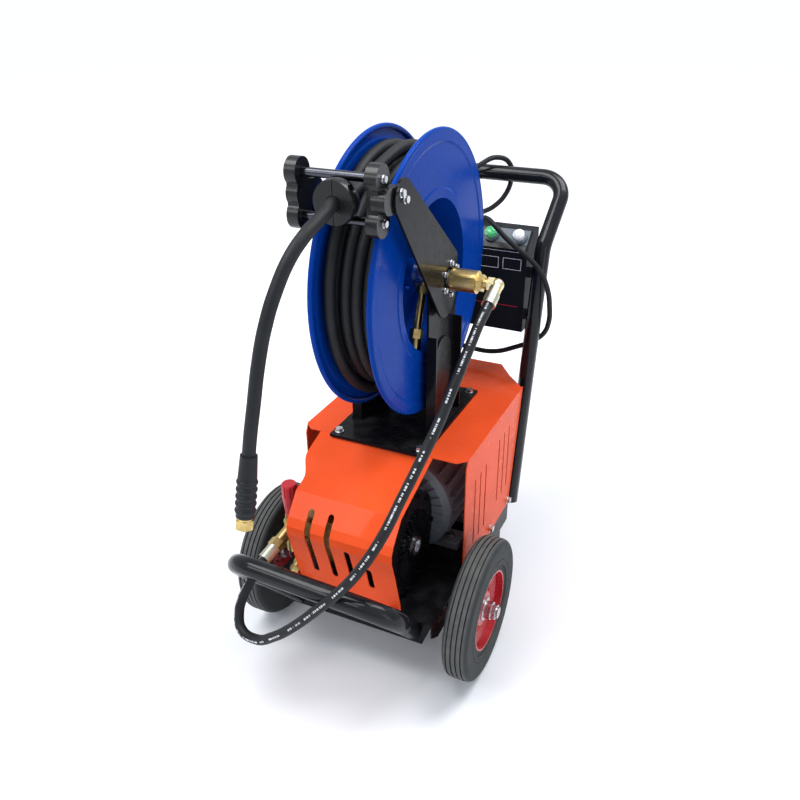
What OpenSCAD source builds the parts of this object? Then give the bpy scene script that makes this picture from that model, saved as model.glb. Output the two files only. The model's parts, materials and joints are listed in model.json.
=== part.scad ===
// Drain jetter: an electric plunger pump on a two-wheeled trolley, with a hose reel on top.
// Millimetres, +Z up. +X is the viewer's right when facing the front, +Y points to the handle.
// Pieces are drawn with the wheel axle at Y = 0 and then shifted so that the origin lies on the
// ground in the middle of the trolley.

/* [Wheels] */
// Outer radius of the tyres
wheel_r = 127; // [110:1:150]
// Width of a tyre
tyre_w = 46; // [36:1:56]
// Distance between the middles of the two tyres
track = 406; // [396:1:440]
// Radius of the rim where the tyre sits
rim_r = 72; // [60:1:85]
// Diameter of the wheel hubs
hub_d = 42; // [36:1:50]
// Diameter of the axle
axle_d = 20; // [16:1:25]

/* [Tray] */
// Outside width of the tray
tray_w = 310; // [290:1:320]
// Length of the tray, front to back
tray_len = 402; // [390:1:430]
// Distance from the axle forward to the front of the tray
tray_front = 102; // [96:1:110]
// Depth of the tray's edges, folded down
tray_lip = 44; // [38:1:50]
// Height of the tray's tabs, folded up behind the cover
tray_tab = 34; // [28:1:45]
// Thickness of the tray's sheet
tray_t = 3; // [2:0.5:5]
// Height of the tray's underside over the middle of the axle
tray_rise = 20; // [16:1:30]

/* [Cover] */
// Height of the cover's top over the tray's underside
cover_h = 248; // [240:1:270]
// Thickness of the cover's sheet
cover_t = 2; // [1:0.5:3]
// Width of a slot in the hood
hood_slot_w = 11; // [6:1:16]
// Width of a slot in a side of the cover
side_slot_w = 5; // [3:1:8]

/* [Tube frame] */
// Outside diameter of the handle's tube
tube_d = 30; // [25:1:34]
// Outside diameter of the bumper's tube
bumper_d = 34; // [28:1:36]
// Wall of the tubes
tube_wall = 2; // [1.5:0.5:4]
// Distance between the middles of the two uprights
handle_w = 306; // [302:1:320]
// Widening of the handle from the knee to the grip bar, on each side
handle_splay = 10; // [0:1:14]
// Backward lean of the uprights in degrees
handle_lean = 11.5; // [8:0.5:14]
// Height of the knee of the uprights over the tray's underside
knee_h = 508; // [490:1:540]
// Rise of the grip bar over the knee
grip_rise = 108; // [95:1:125]
// Distance of the grip bar behind the knee
grip_back = 103; // [90:1:120]
// Height of the bumper bar over the tray's underside
bumper_h = 99; // [90:1:110]
// Distance of the bumper bar in front of the tray
bumper_out = 102; // [98:1:115]
// Distance between the feet of the bumper
bumper_feet = 236; // [220:1:260]
// Side of the square rear legs
leg_w = 30; // [24:1:36]

/* [Motor and pump] */
// Radius of the motor's frame under the fins
motor_r = 92; // [85:1:95]
// Height of a fin on the motor's frame
fin_h = 12; // [6:1:14]
// Length of the motor's finned frame
motor_len = 168; // [150:1:180]
// Diameter of the motor's shaft
shaft_d = 28; // [22:1:32]
// Radius of the round ends of the crankcase cover
case_r = 84; // [76:1:86]
// Diameter of the oil sight glass
sight_d = 34; // [26:1:40]
// Diameter of a pump plunger
plunger_d = 18; // [14:1:22]
// Distance between two plungers
plunger_pitch = 38; // [34:1:42]
// Length of the red adjusting knob
knob_len = 66; // [50:1:75]

/* [Reel] */
// Radius of the reel's flanges
flange_r = 236; // [228:1:242]
// Distance between the outer edges of the two flanges
reel_w = 107; // [105:1:112]
// Depth of the reel's room for hose, from a flange's edge to the drum
hose_room = 107; // [102:1:114]
// Thickness of the reel's sheet
reel_t = 2; // [1.5:0.5:3]
// Clearance of the flanges over the base plate
reel_clear = 36; // [32:1:54]
// Diameter of the reel's hollow shaft
spindle_d = 30; // [26:1:34]
// Width of a post of the reel's stand
post_w = 116; // [100:1:124]
// Thickness of the plates of the stand
plate_t = 4; // [3:0.5:6]

/* [Hose guide] */
// Distance between the middles of the upper and lower guide rollers
roller_gap = 60; // [54:1:66]
// Diameter of a guide roller
roller_d = 13; // [10:1:16]
// Diameter of the round ends of a guide block
lobe_d = 41; // [36:1:42]
// Thickness of a guide block
block_t = 18; // [14:1:20]
// Diameter of the hose stop
stop_d = 64; // [60:1:72]

/* [Hoses and cable] */
// Outside diameter of the jetting hose
jet_d = 19; // [17:0.5:19.5]
// Outside diameter of the connecting hose
link_d = 17; // [15:0.1:18]
// Outside diameter of the power cable
cable_d = 10; // [8:0.5:10.5]
// Turns of the power cable hung over the grip bar
cable_turns = 7; // [4:1:8]

/* [Control box] */
// Width of the control box
box_w = 260; // [240:1:264]
// Height of the upright front of the control box
box_h = 163; // [150:1:175]
// Depth of the control box
box_depth = 72; // [66:1:74]
// Diameter of the push buttons
button_d = 22; // [18:1:24]
// Travel of the push buttons
button_travel = 4; // [2:0.5:5]

/* [Hidden] */
$fn = 48;

// Clearances
run = 0.05;
gap = 0.3;

// Colours
orange = "#f4602c";
black = "#1d1d20";
blue = "#1238b8";
red = "#b3202c";
grey = "#55585c";
steel = "#c3c6ca";
brass = "#b48a45";
rubber = "#2a2b2d";

// Heights and places that follow from the sizes
axle_z = wheel_r;
wheel_x = track / 2;
tray_z = axle_z + tray_rise;
floor_z = tray_z + tray_t;
tray_y0 = -tray_front;
tray_y1 = tray_y0 + tray_len;
tray_x = tray_w / 2;
cover_x = tray_x + cover_t;
cover_z = tray_z + cover_h;
tube_r = tube_d / 2;
handle_x = handle_w / 2;
bend_r = 1.5 * tube_d;
foot_y = tray_y1 + tube_r + 8;
knee_z = tray_z + knee_h;
knee_y = upright_y(knee_z);
grip_z = knee_z + grip_rise;
grip_y = knee_y + grip_back;
bumper_z = tray_z + bumper_h;
bumper_y = tray_y0 - bumper_out;
// The bar sits to the left of its feet and rises a little that way
bumper_left = bumper_feet / 2 + 94;
bumper_right = bumper_feet / 2 + 14;
bumper_lift = 13;
bumper_foot_z = tray_z - 16;
grip_x = handle_x + handle_splay;
// The trolley reaches from the front of the bumper to the back of the grip bar
origin_y = (bumper_y - bumper_d / 2 + grip_y + tube_r) / 2;

function upright_y(z) = foot_y + (z - tray_z) * tan(handle_lean);

// Motor and pump stand on the tray with one shared shaft line
motor_x = 15;
motor_z = floor_z + 100;
bell_y = 61;
bell_len = 24;
frame_y = bell_y + bell_len;
frame_end = frame_y + motor_len;
cowl_len = 70;
foot_x = 80;
foot_ys = [frame_y + 40, frame_end - 42];
foot_h = 12;
case_x0 = -26;
case_x1 = 76;
case_y = -24;
case_low = floor_z + 2 + case_r;
case_high = case_low + 22;
case_top = case_high + case_r;
case_cover_t = 8;
crank_y0 = case_y - 66;
crank_y1 = bell_y - 19;
head_x = -104;
head_low = motor_z - 42;
head_high = motor_z + 42;
unloader_x = -126;
unloader_y = -76;
knob_z = head_high - 14;

// Reel
base_t = 5;
base_x = -6;
base_w = 180;
base_y0 = 18;
base_len = 265;
base_z = cover_z + base_t;
box_y = 400;
box_clear = 21;
drum_r = flange_r - hose_room;
reel_rise = flange_r + reel_clear;
reel_x = -3.5;
reel_y = box_y - box_clear - flange_r;
reel_z = base_z + reel_rise;
bead_r = 4.5;
rim_step = 1.5;
flange_in = reel_w / 2 - 3.9;
post_in = reel_w / 2 + 10;
spindle_r = spindle_d / 2;
bearing_r = 33;
bearing_t = 9;
arm_in = post_in + plate_t + bearing_t;
jet_r = jet_d / 2;
wind_pitch = jet_d + 0.9;
wind_rings = 24;
wind_low = flange_r - 52;
wind_high = wind_low + jet_d + 0.4;
core_r = wind_low * cos(180 / wind_rings) - jet_r - gap;

// Hose guide
guide_a = 38.983;
guide_reach = flange_r + 40.6;
guide_y = reel_y - round(guide_reach * cos(guide_a));
guide_z = reel_z + round(guide_reach * sin(guide_a));
guide_x = -8.5;
guide_half = 53;
roller_zs = [guide_z - roller_gap / 2, guide_z + roller_gap / 2];
pin_r = 4;
stop_x = 4;
stop_r = stop_d / 2;
stop_lift = sqrt(pow(stop_r + roller_d / 2 + gap, 2) - pow(roller_gap / 2, 2));
stop_y = guide_y - stop_lift;

// Control box and its buttons
box_x = box_w / 2;
box_z = tray_z + 338;
box_top = box_z + box_h;
panel_run = 36;
panel_rise = 32;
panel_t = 3;
panel_tilt = atan2(panel_rise, panel_run);
panel_len = norm([panel_run, panel_rise]);
button_xs = [52, 108];
collar_h = 6;

// Hose and cable routes, drawn through these points. The jet hose is drawn from the middle of
// the guide, the top of the connecting hose from the elbow, and the cable from under the control box
jet_tail = [for (p = [
    [4, -50, -7], [2.5, -73, -15], [0.5, -104, -26.5], [-3.5, -135, -47], [-10, -161, -81],
    [-17, -181, -123], [-24, -195, -174], [-30, -206, -231], [-35, -215, -279], [-39, -224, -334]
]) [p.x, guide_y + p.y, guide_z + p.z]];
link_drop = [[-1, -73, -36], [-2, -112, -62], [-6, -161, -103], [-12, -204, -148], [-24, -250, -199]];
link_route = [
    [121, -148, 426], [107, -180, 380], [84, -206, 332], [53, -221, 286], [15, -235, 243],
    [-22, -242, 203], [-63, -244, 165], [-105, -240, 138], [-140, -231, 139], [-153, -216, 157],
    [-154, -202, 177], [-150, -187, 195]
];
cable_drop = [
    [-60, 436, -23], [-60, 436, -28], [-60, 436, -33], [-46, 432, -51], [-10, 425, -61],
    [25, 421, -64], [70, 420, -61], [112, 420, -44], [146, 418, -24]
];
cable_rise = [
    [172, 407, 486], [184, 396, 518], [185, 389, 550], [179, 386, 586], [163, 386, 618],
    [140, 387, 641], [113, 386, 660], [90, 386, 677], [68, 393, 693], [44, 410, 702],
    [20, 433, 694], [2, 458, 688], [2, 490, 689], [20, 522, 698], [36, 543, 720],
    [42, 553, 746], [38, 553, 777], [17, 528, 793], [-4, 502, 784], [-24, 481, 765]
];
// The loop under the box hangs as low as the room over the cover lets it
cable_sag = (box_z - cover_z) / 90;
cable_route = concat([for (p = cable_drop) [p.x, p.y, box_z + p.z * cable_sag]], cable_rise);

// Turns a 2D outline drawn in (Y, Z) into a plate that reaches from x0 to x1
module along_x(x0, x1) {
    translate([x0, 0, 0]) rotate([90, 0, 90]) linear_extrude(x1 - x0) children();
}

// Spins a 2D outline drawn in (radius, X) around a line along X
module round_x(x, y, z) {
    translate([x, y, z]) rotate([0, 90, 0]) rotate_extrude($fn = 96) children();
}

// Spins a 2D outline drawn in (radius, Y) around a line along Y
module round_y(x, y, z) {
    translate([x, y, z]) rotate([-90, 0, 0]) rotate_extrude($fn = 96) children();
}

module mirror_x() {
    children();
    mirror([1, 0, 0]) children();
}

module rod(a, b, r, sides = 48) {
    d = b - a;
    translate(a) rotate([0, acos(d.z / norm(d)), atan2(d.y, d.x)]) cylinder(h = norm(d), r = r, $fn = sides);
}

// A slot of width w with round ends, between two points of the plane
module stadium(a, b, w) {
    d = b - a;
    translate(a) circle(d = w);
    translate(b) circle(d = w);
    translate(a) rotate(atan2(d.y, d.x)) translate([0, -w / 2]) square([norm(d), w]);
}

// Washer and hexagon head, seated at p and standing out along d
module hex_bolt(p, d, size) {
    rod(p, p + d * size * 0.2, size);
    rod(p + d * size * 0.2, p + d * size * 0.9, size * 0.85, 6);
}

function unit(v) = v / norm(v);
function left_of(a, b) = let (d = unit(b - a)) [-d.y, d.x];
function moved(p, t) = [
    for (i = [0 : len(p) - 1])
        let (
            a = left_of(p[max(i - 1, 0)], p[max(i, 1)]),
            b = left_of(p[min(i, len(p) - 2)], p[min(i + 1, len(p) - 1)])
        ) p[i] + t * (a + b) / (1 + a * b)
];
// Closed outline of a folded sheet: a line and the same line moved to its left by t
function sheet(p, t) =
    let (q = moved(p, t)) concat(p, [for (i = [len(q) - 1 : -1 : 0]) q[i]]);

// Smooth curve through hand-chosen points, with n steps between two of them
function curve_at(a, b, c, d, t) =
    b + 0.5 * t * (c - a + t * (2 * a - 5 * b + 4 * c - d + t * (3 * (b - c) + d - a)));
function curve(p, n) = let (
    last = len(p) - 1,
    q = concat([2 * p[0] - p[1]], p, [2 * p[last] - p[last - 1]])
) concat([
    for (i = [0 : last - 1], k = [0 : n - 1]) curve_at(q[i], q[i + 1], q[i + 2], q[i + 3], k / n)
], [p[last]]);
function ways(p) = [
    for (i = [0 : len(p) - 1]) unit(p[min(i + 1, len(p) - 1)] - p[max(i - 1, 0)])
];
function square_to(n, t) = unit(n - (n * t) * t);
function sideways(t) = [
    for (i = 0, v = square_to(abs(t[0].x) < 0.8 ? [1, 0, 0] : [0, 1, 0], t[0]); i < len(t);
        i = i + 1, v = i < len(t) ? square_to(v, t[i]) : v) v
];
function rings(p, t, r, sides) = let (n = sideways(t)) [
    for (i = [0 : len(p) - 1], k = [0 : sides - 1])
        p[i] + r * (cos(360 * k / sides) * n[i] + sin(360 * k / sides) * cross(t[i], n[i]))
];
function next_of(k, sides) = k - k % sides + (k + 1) % sides;

// Solid tube of radius r that follows the points p
module sweep(p, r, sides) {
    last = (len(p) - 1) * sides;
    polyhedron(rings(p, ways(p), r, sides), concat(
        [for (k = [0 : last - 1]) [k, k + sides, next_of(k, sides)]],
        [for (k = [0 : last - 1]) [next_of(k, sides), k + sides, next_of(k, sides) + sides]],
        [for (k = [1 : sides - 2]) [0, k, k + 1]],
        [for (k = [1 : sides - 2]) [last, last + k + 1, last + k]]
    ));
}

// Points and directions of a path with bends of radius b
function bent(p, b) = concat(
    [[p[0], unit(p[1] - p[0])]],
    [for (i = [1 : len(p) - 2])
        let (
            u = unit(p[i] - p[i - 1]),
            w = unit(p[i + 1] - p[i]),
            n = square_to(w, u),
            turn = acos(u * w),
            c = p[i] - u * b * tan(turn / 2) + n * b,
            steps = ceil(turn / 11)
        ) for (k = [0 : steps]) let (a = turn * k / steps)
            [c + b * (sin(a) * u - cos(a) * n), cos(a) * u + sin(a) * n]],
    [[p[len(p) - 1], unit(p[len(p) - 1] - p[len(p) - 2])]]
);
// Moves the first and the last ring along the tube onto the plane Y = y
function trimmed(v, t, sides, y) = [
    for (i = [0 : len(v) - 1]) let (
        ring = floor(i / sides),
        u = t[ring]
    ) ring > 0 && ring < len(t) - 1 ? v[i] : v[i] + u * (y - v[i].y) / u.y
];

// Hollow tube along a path with bends, its ends square or trimmed to the plane Y = end_y
module bent_tube(path, b, r, wall, sides, end_y = undef) {
    line = bent(path, b);
    p = [for (q = line) q[0]];
    t = [for (q = line) q[1]];
    outside = rings(p, t, r, sides);
    inside = rings(p, t, r - wall, sides);
    all = len(outside);
    last = all - sides;
    polyhedron(
        is_undef(end_y) ? concat(outside, inside)
            : concat(trimmed(outside, t, sides, end_y), trimmed(inside, t, sides, end_y)),
        concat(
            [for (k = [0 : last - 1]) [k, k + sides, next_of(k, sides)]],
            [for (k = [0 : last - 1]) [next_of(k, sides), k + sides, next_of(k, sides) + sides]],
            [for (k = [all : all + last - 1]) [k, next_of(k, sides), k + sides]],
            [for (k = [all : all + last - 1]) [next_of(k, sides), next_of(k, sides) + sides, k + sides]],
            [for (k = [0 : sides - 1]) [k, next_of(k, sides), all + next_of(k, sides)]],
            [for (k = [0 : sides - 1]) [k, all + next_of(k, sides), all + k]],
            [for (k = [last : all - 1]) [next_of(k, sides), k, all + k]],
            [for (k = [last : all - 1]) [next_of(k, sides), all + k, all + next_of(k, sides)]]
        )
    );
}

// Least distance between stretches of a winding that lie more than one turn's half apart
function least_gap(p, d, apart) = min([
    for (i = [0 : 3 : len(p) - 1], k = [i + apart : 1 : len(p) - 1]) norm(p[i] - p[k]) - d
]);

// Chassis

module tray() color(black) difference() {
    union() {
        translate([-tray_x, tray_y0, tray_z]) cube([tray_w, tray_len, tray_t]);
        // Front and rear edges, the front one tapered at its ends
        translate([0, tray_y0 + tray_t, 0]) rotate([90, 0, 0]) linear_extrude(tray_t) polygon([
            [-tray_x, floor_z], [-tray_x + 18, tray_z - tray_lip],
            [tray_x - 18, tray_z - tray_lip], [tray_x, floor_z]
        ]);
        translate([-tray_x, tray_y1 - tray_t, tray_z - tray_lip]) cube([tray_w, tray_t, tray_lip]);
        // Side edges, tabs behind the cover and bosses for the axle
        mirror_x() along_x(tray_x - tray_t, tray_x) polygon([
            [tray_y0 + 2, tray_z], [tray_y0 + 2, tray_z - tray_lip * 0.6],
            [tray_y0 + 28, tray_z - tray_lip], [tray_y1, tray_z - tray_lip], [tray_y1, tray_z]
        ]);
        mirror_x() translate([tray_x - tray_t, 50, tray_z]) cube([tray_t, tray_y1 - 50, tray_tab]);
        translate([-90, tray_y0, tray_z]) cube([180, tray_t, tray_tab]);
        mirror_x() rod([tray_x - 16, 0, axle_z], [tray_x, 0, axle_z], axle_d / 2 + 8);
        // Ears that the uprights are bolted to
        mirror_x() along_x(handle_x - tube_r - gap - tray_t, handle_x - tube_r - gap) polygon([
            [tray_y1 - 30, tray_z], [foot_y + tube_r, tray_z],
            [upright_y(tray_z + 70) + tube_r, tray_z + 70], [tray_y1 - 30, tray_z + tray_tab]
        ]);
    }
    rod([-tray_w, 0, axle_z], [tray_w, 0, axle_z], axle_d / 2 + run);
}

module bumper() color(black) bent_tube([
    [-bumper_feet / 2, tray_y0, bumper_foot_z], [-bumper_left, bumper_y, bumper_z + bumper_lift],
    [bumper_right, bumper_y, bumper_z], [bumper_feet / 2, tray_y0, bumper_foot_z]
], 1.5 * bumper_d, bumper_d / 2, tube_wall, 20, tray_y0);

module handle() color(black) bent_tube([
    [-handle_x, upright_y(tray_z - 10), tray_z - 10], [-handle_x, knee_y, knee_z], [-grip_x, grip_y, grip_z],
    [grip_x, grip_y, grip_z], [handle_x, knee_y, knee_z], [handle_x, upright_y(tray_z - 10), tray_z - 10]
], bend_r, tube_r, tube_wall, 20);

leg_x = tray_x - leg_w / 2 - 12;
leg_y = tray_y1 - tray_t - leg_w / 2;
foot_t = 12;

module rear_legs() color(black) mirror_x() difference() {
    translate([leg_x - leg_w / 2, leg_y - leg_w / 2, foot_t]) cube([leg_w, leg_w, tray_z - foot_t]);
    translate([leg_x - leg_w / 2 + tray_t, leg_y - leg_w / 2 + tray_t, foot_t - 1])
        cube([leg_w - 2 * tray_t, leg_w - 2 * tray_t, tray_z - foot_t - tray_t + 1]);
}

module rear_feet() color(rubber) mirror_x() translate([leg_x, leg_y, 0]) {
    cylinder(h = foot_t, r = leg_w * 0.62);
    translate([0, 0, foot_t]) cylinder(h = 10, r = leg_w / 2 - tray_t);
}

hub_len = tyre_w - 2;
axle_reach = wheel_x + hub_len / 2 + 14;

module axle() color(steel) {
    rod([-axle_reach, 0, axle_z], [axle_reach, 0, axle_z], axle_d / 2);
    // Collars that keep the wheels off the tray
    mirror_x() difference() {
        rod([tray_x + gap, 0, axle_z], [wheel_x - hub_len / 2 - gap, 0, axle_z], axle_d / 2 + 5);
        rod([tray_x, 0, axle_z], [wheel_x, 0, axle_z], axle_d / 2);
    }
}

// Wheels, drawn for the right side

shoulder = 11;
groove_w = 2.4;
groove_n = 4;
rib_pitch = (tyre_w - shoulder) / groove_n;

module tyre() color(rubber) round_x(wheel_x, 0, axle_z) difference() {
    union() {
        translate([rim_r, -tyre_w / 2 + 3]) square([14, tyre_w - 6]);
        translate([rim_r + 10, -tyre_w / 2]) square([wheel_r - shoulder - rim_r - 10, tyre_w]);
        translate([wheel_r - shoulder, shoulder - tyre_w / 2])
            square([shoulder, tyre_w - 2 * shoulder]);
        for (s = [-1, 1]) translate([wheel_r - shoulder, s * (tyre_w / 2 - shoulder)]) circle(r = shoulder);
    }
    for (i = [0 : groove_n - 1])
        translate([wheel_r - 4, (i - (groove_n - 1) / 2) * rib_pitch - groove_w / 2]) square([8, groove_w]);
    for (s = [-1, 1]) translate([rim_r + 20, s * tyre_w / 2]) circle(r = 1.5);
}

module rim() color(red) round_x(wheel_x, 0, axle_z) {
    translate([rim_r - 3, -tyre_w / 2 + 3]) square([3, tyre_w - 6]);
    // Dished web pressed in two steps
    polygon(sheet([
        [hub_d / 2, 6], [hub_d / 2 + 8, 6], [hub_d / 2 + 18, -4], [rim_r - 14, -4], [rim_r - 2, 4]
    ], 3));
}

module hub() color(steel) difference() {
    union() {
        rod([wheel_x - hub_len / 2, 0, axle_z], [wheel_x + hub_len / 2, 0, axle_z], hub_d / 2 - 5);
        rod([wheel_x - 6, 0, axle_z], [wheel_x + 12, 0, axle_z], hub_d / 2);
    }
    rod([0, 0, axle_z], [2 * wheel_x, 0, axle_z], axle_d / 2 + run);
}

module tyre_left() mirror([1, 0, 0]) tyre();
module tyre_right() tyre();
module rim_left() mirror([1, 0, 0]) rim();
module rim_right() rim();
module hub_left() mirror([1, 0, 0]) hub();
module hub_right() hub();

// Cover

cover_y0 = 28;
cover_y1 = 425;
hood_right = 98;
hood_left = 97;
hood_wide = 120;
hood_line = [
    [tray_y0 - cover_t, tray_z + 8], [tray_y0 - cover_t, tray_z + 26], [-124, case_top - 95],
    [-136, case_top - 55], [-136, case_top - 39], [-128, case_top - 25],
    [-98, case_top + 10], [cover_y0 + 2, cover_z]
];
hood_slots = [[-57, -13], [-20, -13], [15, -63], [50, -95]];
side_slots = [[83, 330], [111, 330], [139, 330], [211, 343], [240, 343], [268, 343]];
side_slot_len = 134;
corner = 16;

module cover() color(orange) {
    // Hood: narrow over the pump, wider on the left where it meets the top
    difference() {
        intersection() {
            along_x(-hood_wide, hood_right) polygon(sheet(hood_line, -cover_t));
            translate([0, 0, tray_z]) linear_extrude(cover_h) polygon(concat(
                [[hood_right, cover_y0 + 4], [hood_right, -200], [-hood_left, -200]],
                [for (t = [0 : 0.125 : 1])
                    [-hood_left - (hood_wide - hood_left) * t * t * (3 - 2 * t), -75 + 55 * t]],
                [[-hood_wide, cover_y0 + 4]]
            ));
        }
        for (s = hood_slots) translate([0, -60, 0]) rotate([90, 0, 0]) linear_extrude(120)
            stadium([s[0], tray_z + 62], [s[0], case_top + s[1]], hood_slot_w);
    }
    // Top with its front and rear corners cut
    translate([0, 0, cover_z - cover_t]) linear_extrude(cover_t) polygon([
        [-cover_x + corner, cover_y0], [cover_x - corner, cover_y0], [cover_x, cover_y0 + corner],
        [cover_x, tray_y1 + 38], [cover_x - 39, tray_y1 + 80], [cover_x - 72, cover_y1],
        [-cover_x + 72, cover_y1], [-cover_x + 39, tray_y1 + 80], [-cover_x, tray_y1 + 38],
        [-cover_x, cover_y0 + corner]
    ]);
    translate([-cover_x + 72, cover_y1 - cover_t, cover_z - 25]) cube([2 * cover_x - 144, cover_t, 25]);
    // Sides with two groups of slots, raked at the back along the uprights
    mirror_x() difference() {
        along_x(tray_x, cover_x) polygon([
            [cover_y0 + 8, floor_z], [upright_y(tray_z) - tube_d, floor_z],
            [upright_y(cover_z) - tube_d, cover_z], [cover_y0 + corner, cover_z],
            [cover_y0 + 8, cover_z - corner]
        ]);
        along_x(0, 2 * cover_x) for (s = side_slots)
            stadium([s[0], cover_z - 395 + s[1] - side_slot_len], [s[0], cover_z - 395 + s[1]], side_slot_w);
    }
}

bolt = 8;

hub_end = wheel_x + hub_len / 2;
module bolts() color(steel) {
    // Cover sides and hood lip
    for (s = [-1, 1]) {
        for (y = [tray_y1 - 120, tray_y1 - 15]) hex_bolt([s * cover_x, y, tray_z + 15], [s, 0, 0], bolt);
        hex_bolt([s * 86, tray_y0 - cover_t, tray_z + 17], [0, -1, 0], bolt);
        // Uprights to the ears, and the bolt on the front of each upright
        for (h = [20, 52]) rod(
            [s * (handle_x - tube_r - gap - tray_t - 6), upright_y(tray_z + h), tray_z + h],
            [s * (handle_x - tube_r - gap - tray_t), upright_y(tray_z + h), tray_z + h], bolt * 0.85, 6);
        // Axle nuts
        difference() {
            union() {
                rod([s * (hub_end + gap), 0, axle_z], [s * (hub_end + 2), 0, axle_z], axle_d / 2 + 6);
                rod([s * (hub_end + 2), 0, axle_z], [s * (hub_end + 10), 0, axle_z], axle_d * 0.72, 6);
            }
            rod([0, 0, axle_z], [s * 2 * axle_reach, 0, axle_z], axle_d / 2);
        }
    }
    // Reel base and motor feet
    for (s = [-1, 1], y = [base_y0 + 14, base_y0 + base_len - 14])
        hex_bolt([base_x + s * (base_w / 2 - 12), y, base_z], [0, 0, 1], bolt);
    for (s = [-1, 1], y = foot_ys) hex_bolt([motor_x + s * foot_x, y, floor_z + foot_h], [0, 0, 1], bolt);
    // Guide arms to the guide blocks
    for (s = [-1, 1], p = arm_bolts)
        hex_bolt([reel_x + s * (arm_in + plate_t), p.x, p.y], [s, 0, 0], 6.5);
    // Ring of bolts through each bearing
    for (s = [-1, 1], a = [30 : 60 : 330])
        hex_bolt([reel_x + s * (arm_in + plate_t), reel_y + 27 * cos(a), reel_z + 27 * sin(a)], [s, 0, 0], 5);
    // Roller pins' heads on the guide blocks
    for (s = [-1, 1], z = roller_zs)
        hex_bolt([guide_x + s * (guide_half + block_t), guide_y, z], [s, 0, 0], 6);
}

// Motor

module motor_frame() color(grey) difference() {
    union() {
        rod([motor_x, frame_y, motor_z], [motor_x, frame_end, motor_z], motor_r);
        intersection() {
            for (a = [0 : 15 : 345]) translate([motor_x, 0, motor_z]) rotate([0, a, 0])
                translate([motor_r - 4, frame_y + 6, -1.75]) cube([fin_h + 4, motor_len - 12, 3.5]);
            translate([motor_x - 2 * motor_r, frame_y, floor_z + foot_h])
                cube([4 * motor_r, motor_len, cover_z - 12 - floor_z - foot_h]);
        }
        for (s = [-1, 1], y = foot_ys) {
            translate([motor_x + s * foot_x - 24, y - 22, floor_z]) cube([48, 44, foot_h]);
            translate([motor_x + s * (foot_x - 22) - 6, y - 22, floor_z]) cube([12, 44, 50]);
        }
    }
    rod([motor_x, frame_y - 1, motor_z], [motor_x, frame_end - 12, motor_z], motor_r - 14);
    rod([motor_x, frame_y - 1, motor_z], [motor_x, frame_end + 1, motor_z], shaft_d / 2 + run);
}

module motor_front_bell() color(grey) {
    round_y(motor_x, bell_y, motor_z) polygon([
        [shaft_d / 2 + run, 0], [motor_r - 34, 0], [motor_r - 26, 8], [motor_r - 6, 8], [motor_r + 8, 14],
        [motor_r + 8, bell_len], [motor_r - 16, bell_len], [motor_r - 20, 16], [shaft_d / 2 + run, 16]
    ]);
    // Ribs set like rays
    for (a = [0 : 12 : 348]) translate([motor_x, bell_y + 3, motor_z]) rotate([0, a, 0])
        translate([motor_r - 30, 0, -1.5]) cube([26, 8, 3]);
}

vent_n = 20;
module motor_fan_cowl() color(black) difference() {
    round_y(motor_x, frame_end, motor_z) polygon([
        [motor_r - 2, 0], [motor_r + 6, 0], [motor_r + 6, cowl_len - 14], [motor_r - 8, cowl_len],
        [0, cowl_len], [0, cowl_len - 3], [motor_r - 10, cowl_len - 3], [motor_r - 2, cowl_len - 16]
    ]);
    for (a = [0 : 360 / vent_n : 359]) translate([motor_x, frame_end, motor_z]) rotate([0, a, 0])
        translate([28, 10, -3]) cube([motor_r - 46, cowl_len, 6]);
}

rotor_y0 = frame_y + 20;
rotor_y1 = frame_end - 20;
module motor_rotor() color(steel) {
    rod([motor_x, crank_y1 + gap, motor_z], [motor_x, frame_end + 44, motor_z], shaft_d / 2);
    difference() {
        rod([motor_x, rotor_y0, motor_z], [motor_x, rotor_y1, motor_z], motor_r - 15);
        rod([motor_x, rotor_y0 - 1, motor_z], [motor_x, rotor_y1 + 1, motor_z], shaft_d / 2);
    }
}

blade_n = 7;
module motor_fan() color(black) translate([motor_x, frame_end + 16, motor_z]) difference() {
    union() {
        rod([0, 0, 0], [0, 28, 0], shaft_d / 2 + 8);
        rod([0, 0, 0], [0, 4, 0], motor_r - 18);
        for (a = [0 : 360 / blade_n : 359]) rotate([0, a, 0])
            translate([shaft_d / 2 + 4, 0, -1.5]) cube([motor_r - shaft_d / 2 - 24, 24, 3]);
    }
    rod([0, -1, 0], [0, 40, 0], shaft_d / 2);
}

// Pump

module case_outline(r) stadium([case_y, case_low], [case_y, case_high], 2 * r);

case_wall = 10;
case_room = case_r - 22;
module pump_crankcase() color(black) difference() {
    union() {
        along_x(case_x0, case_x1) case_outline(case_r - 4);
        translate([case_x0, case_y - 58, floor_z]) cube([case_x1 - case_x0, 116, 30]);
        rod([motor_x, case_y + 40, motor_z], [motor_x, bell_y, motor_z], 40);
    }
    // Crank chamber, shaft bore and plunger bores
    rod([motor_x, crank_y0 - 4, motor_z], [motor_x, case_y + 62, motor_z], 42);
    rod([motor_x, case_y, motor_z], [motor_x, bell_y + 1, motor_z], shaft_d / 2 + run);
    for (i = [-1 : 1]) rod(
        [case_x0 - 1, case_y + i * plunger_pitch, motor_z], [motor_x, case_y + i * plunger_pitch, motor_z],
        plunger_d / 2 + run);
}

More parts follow.
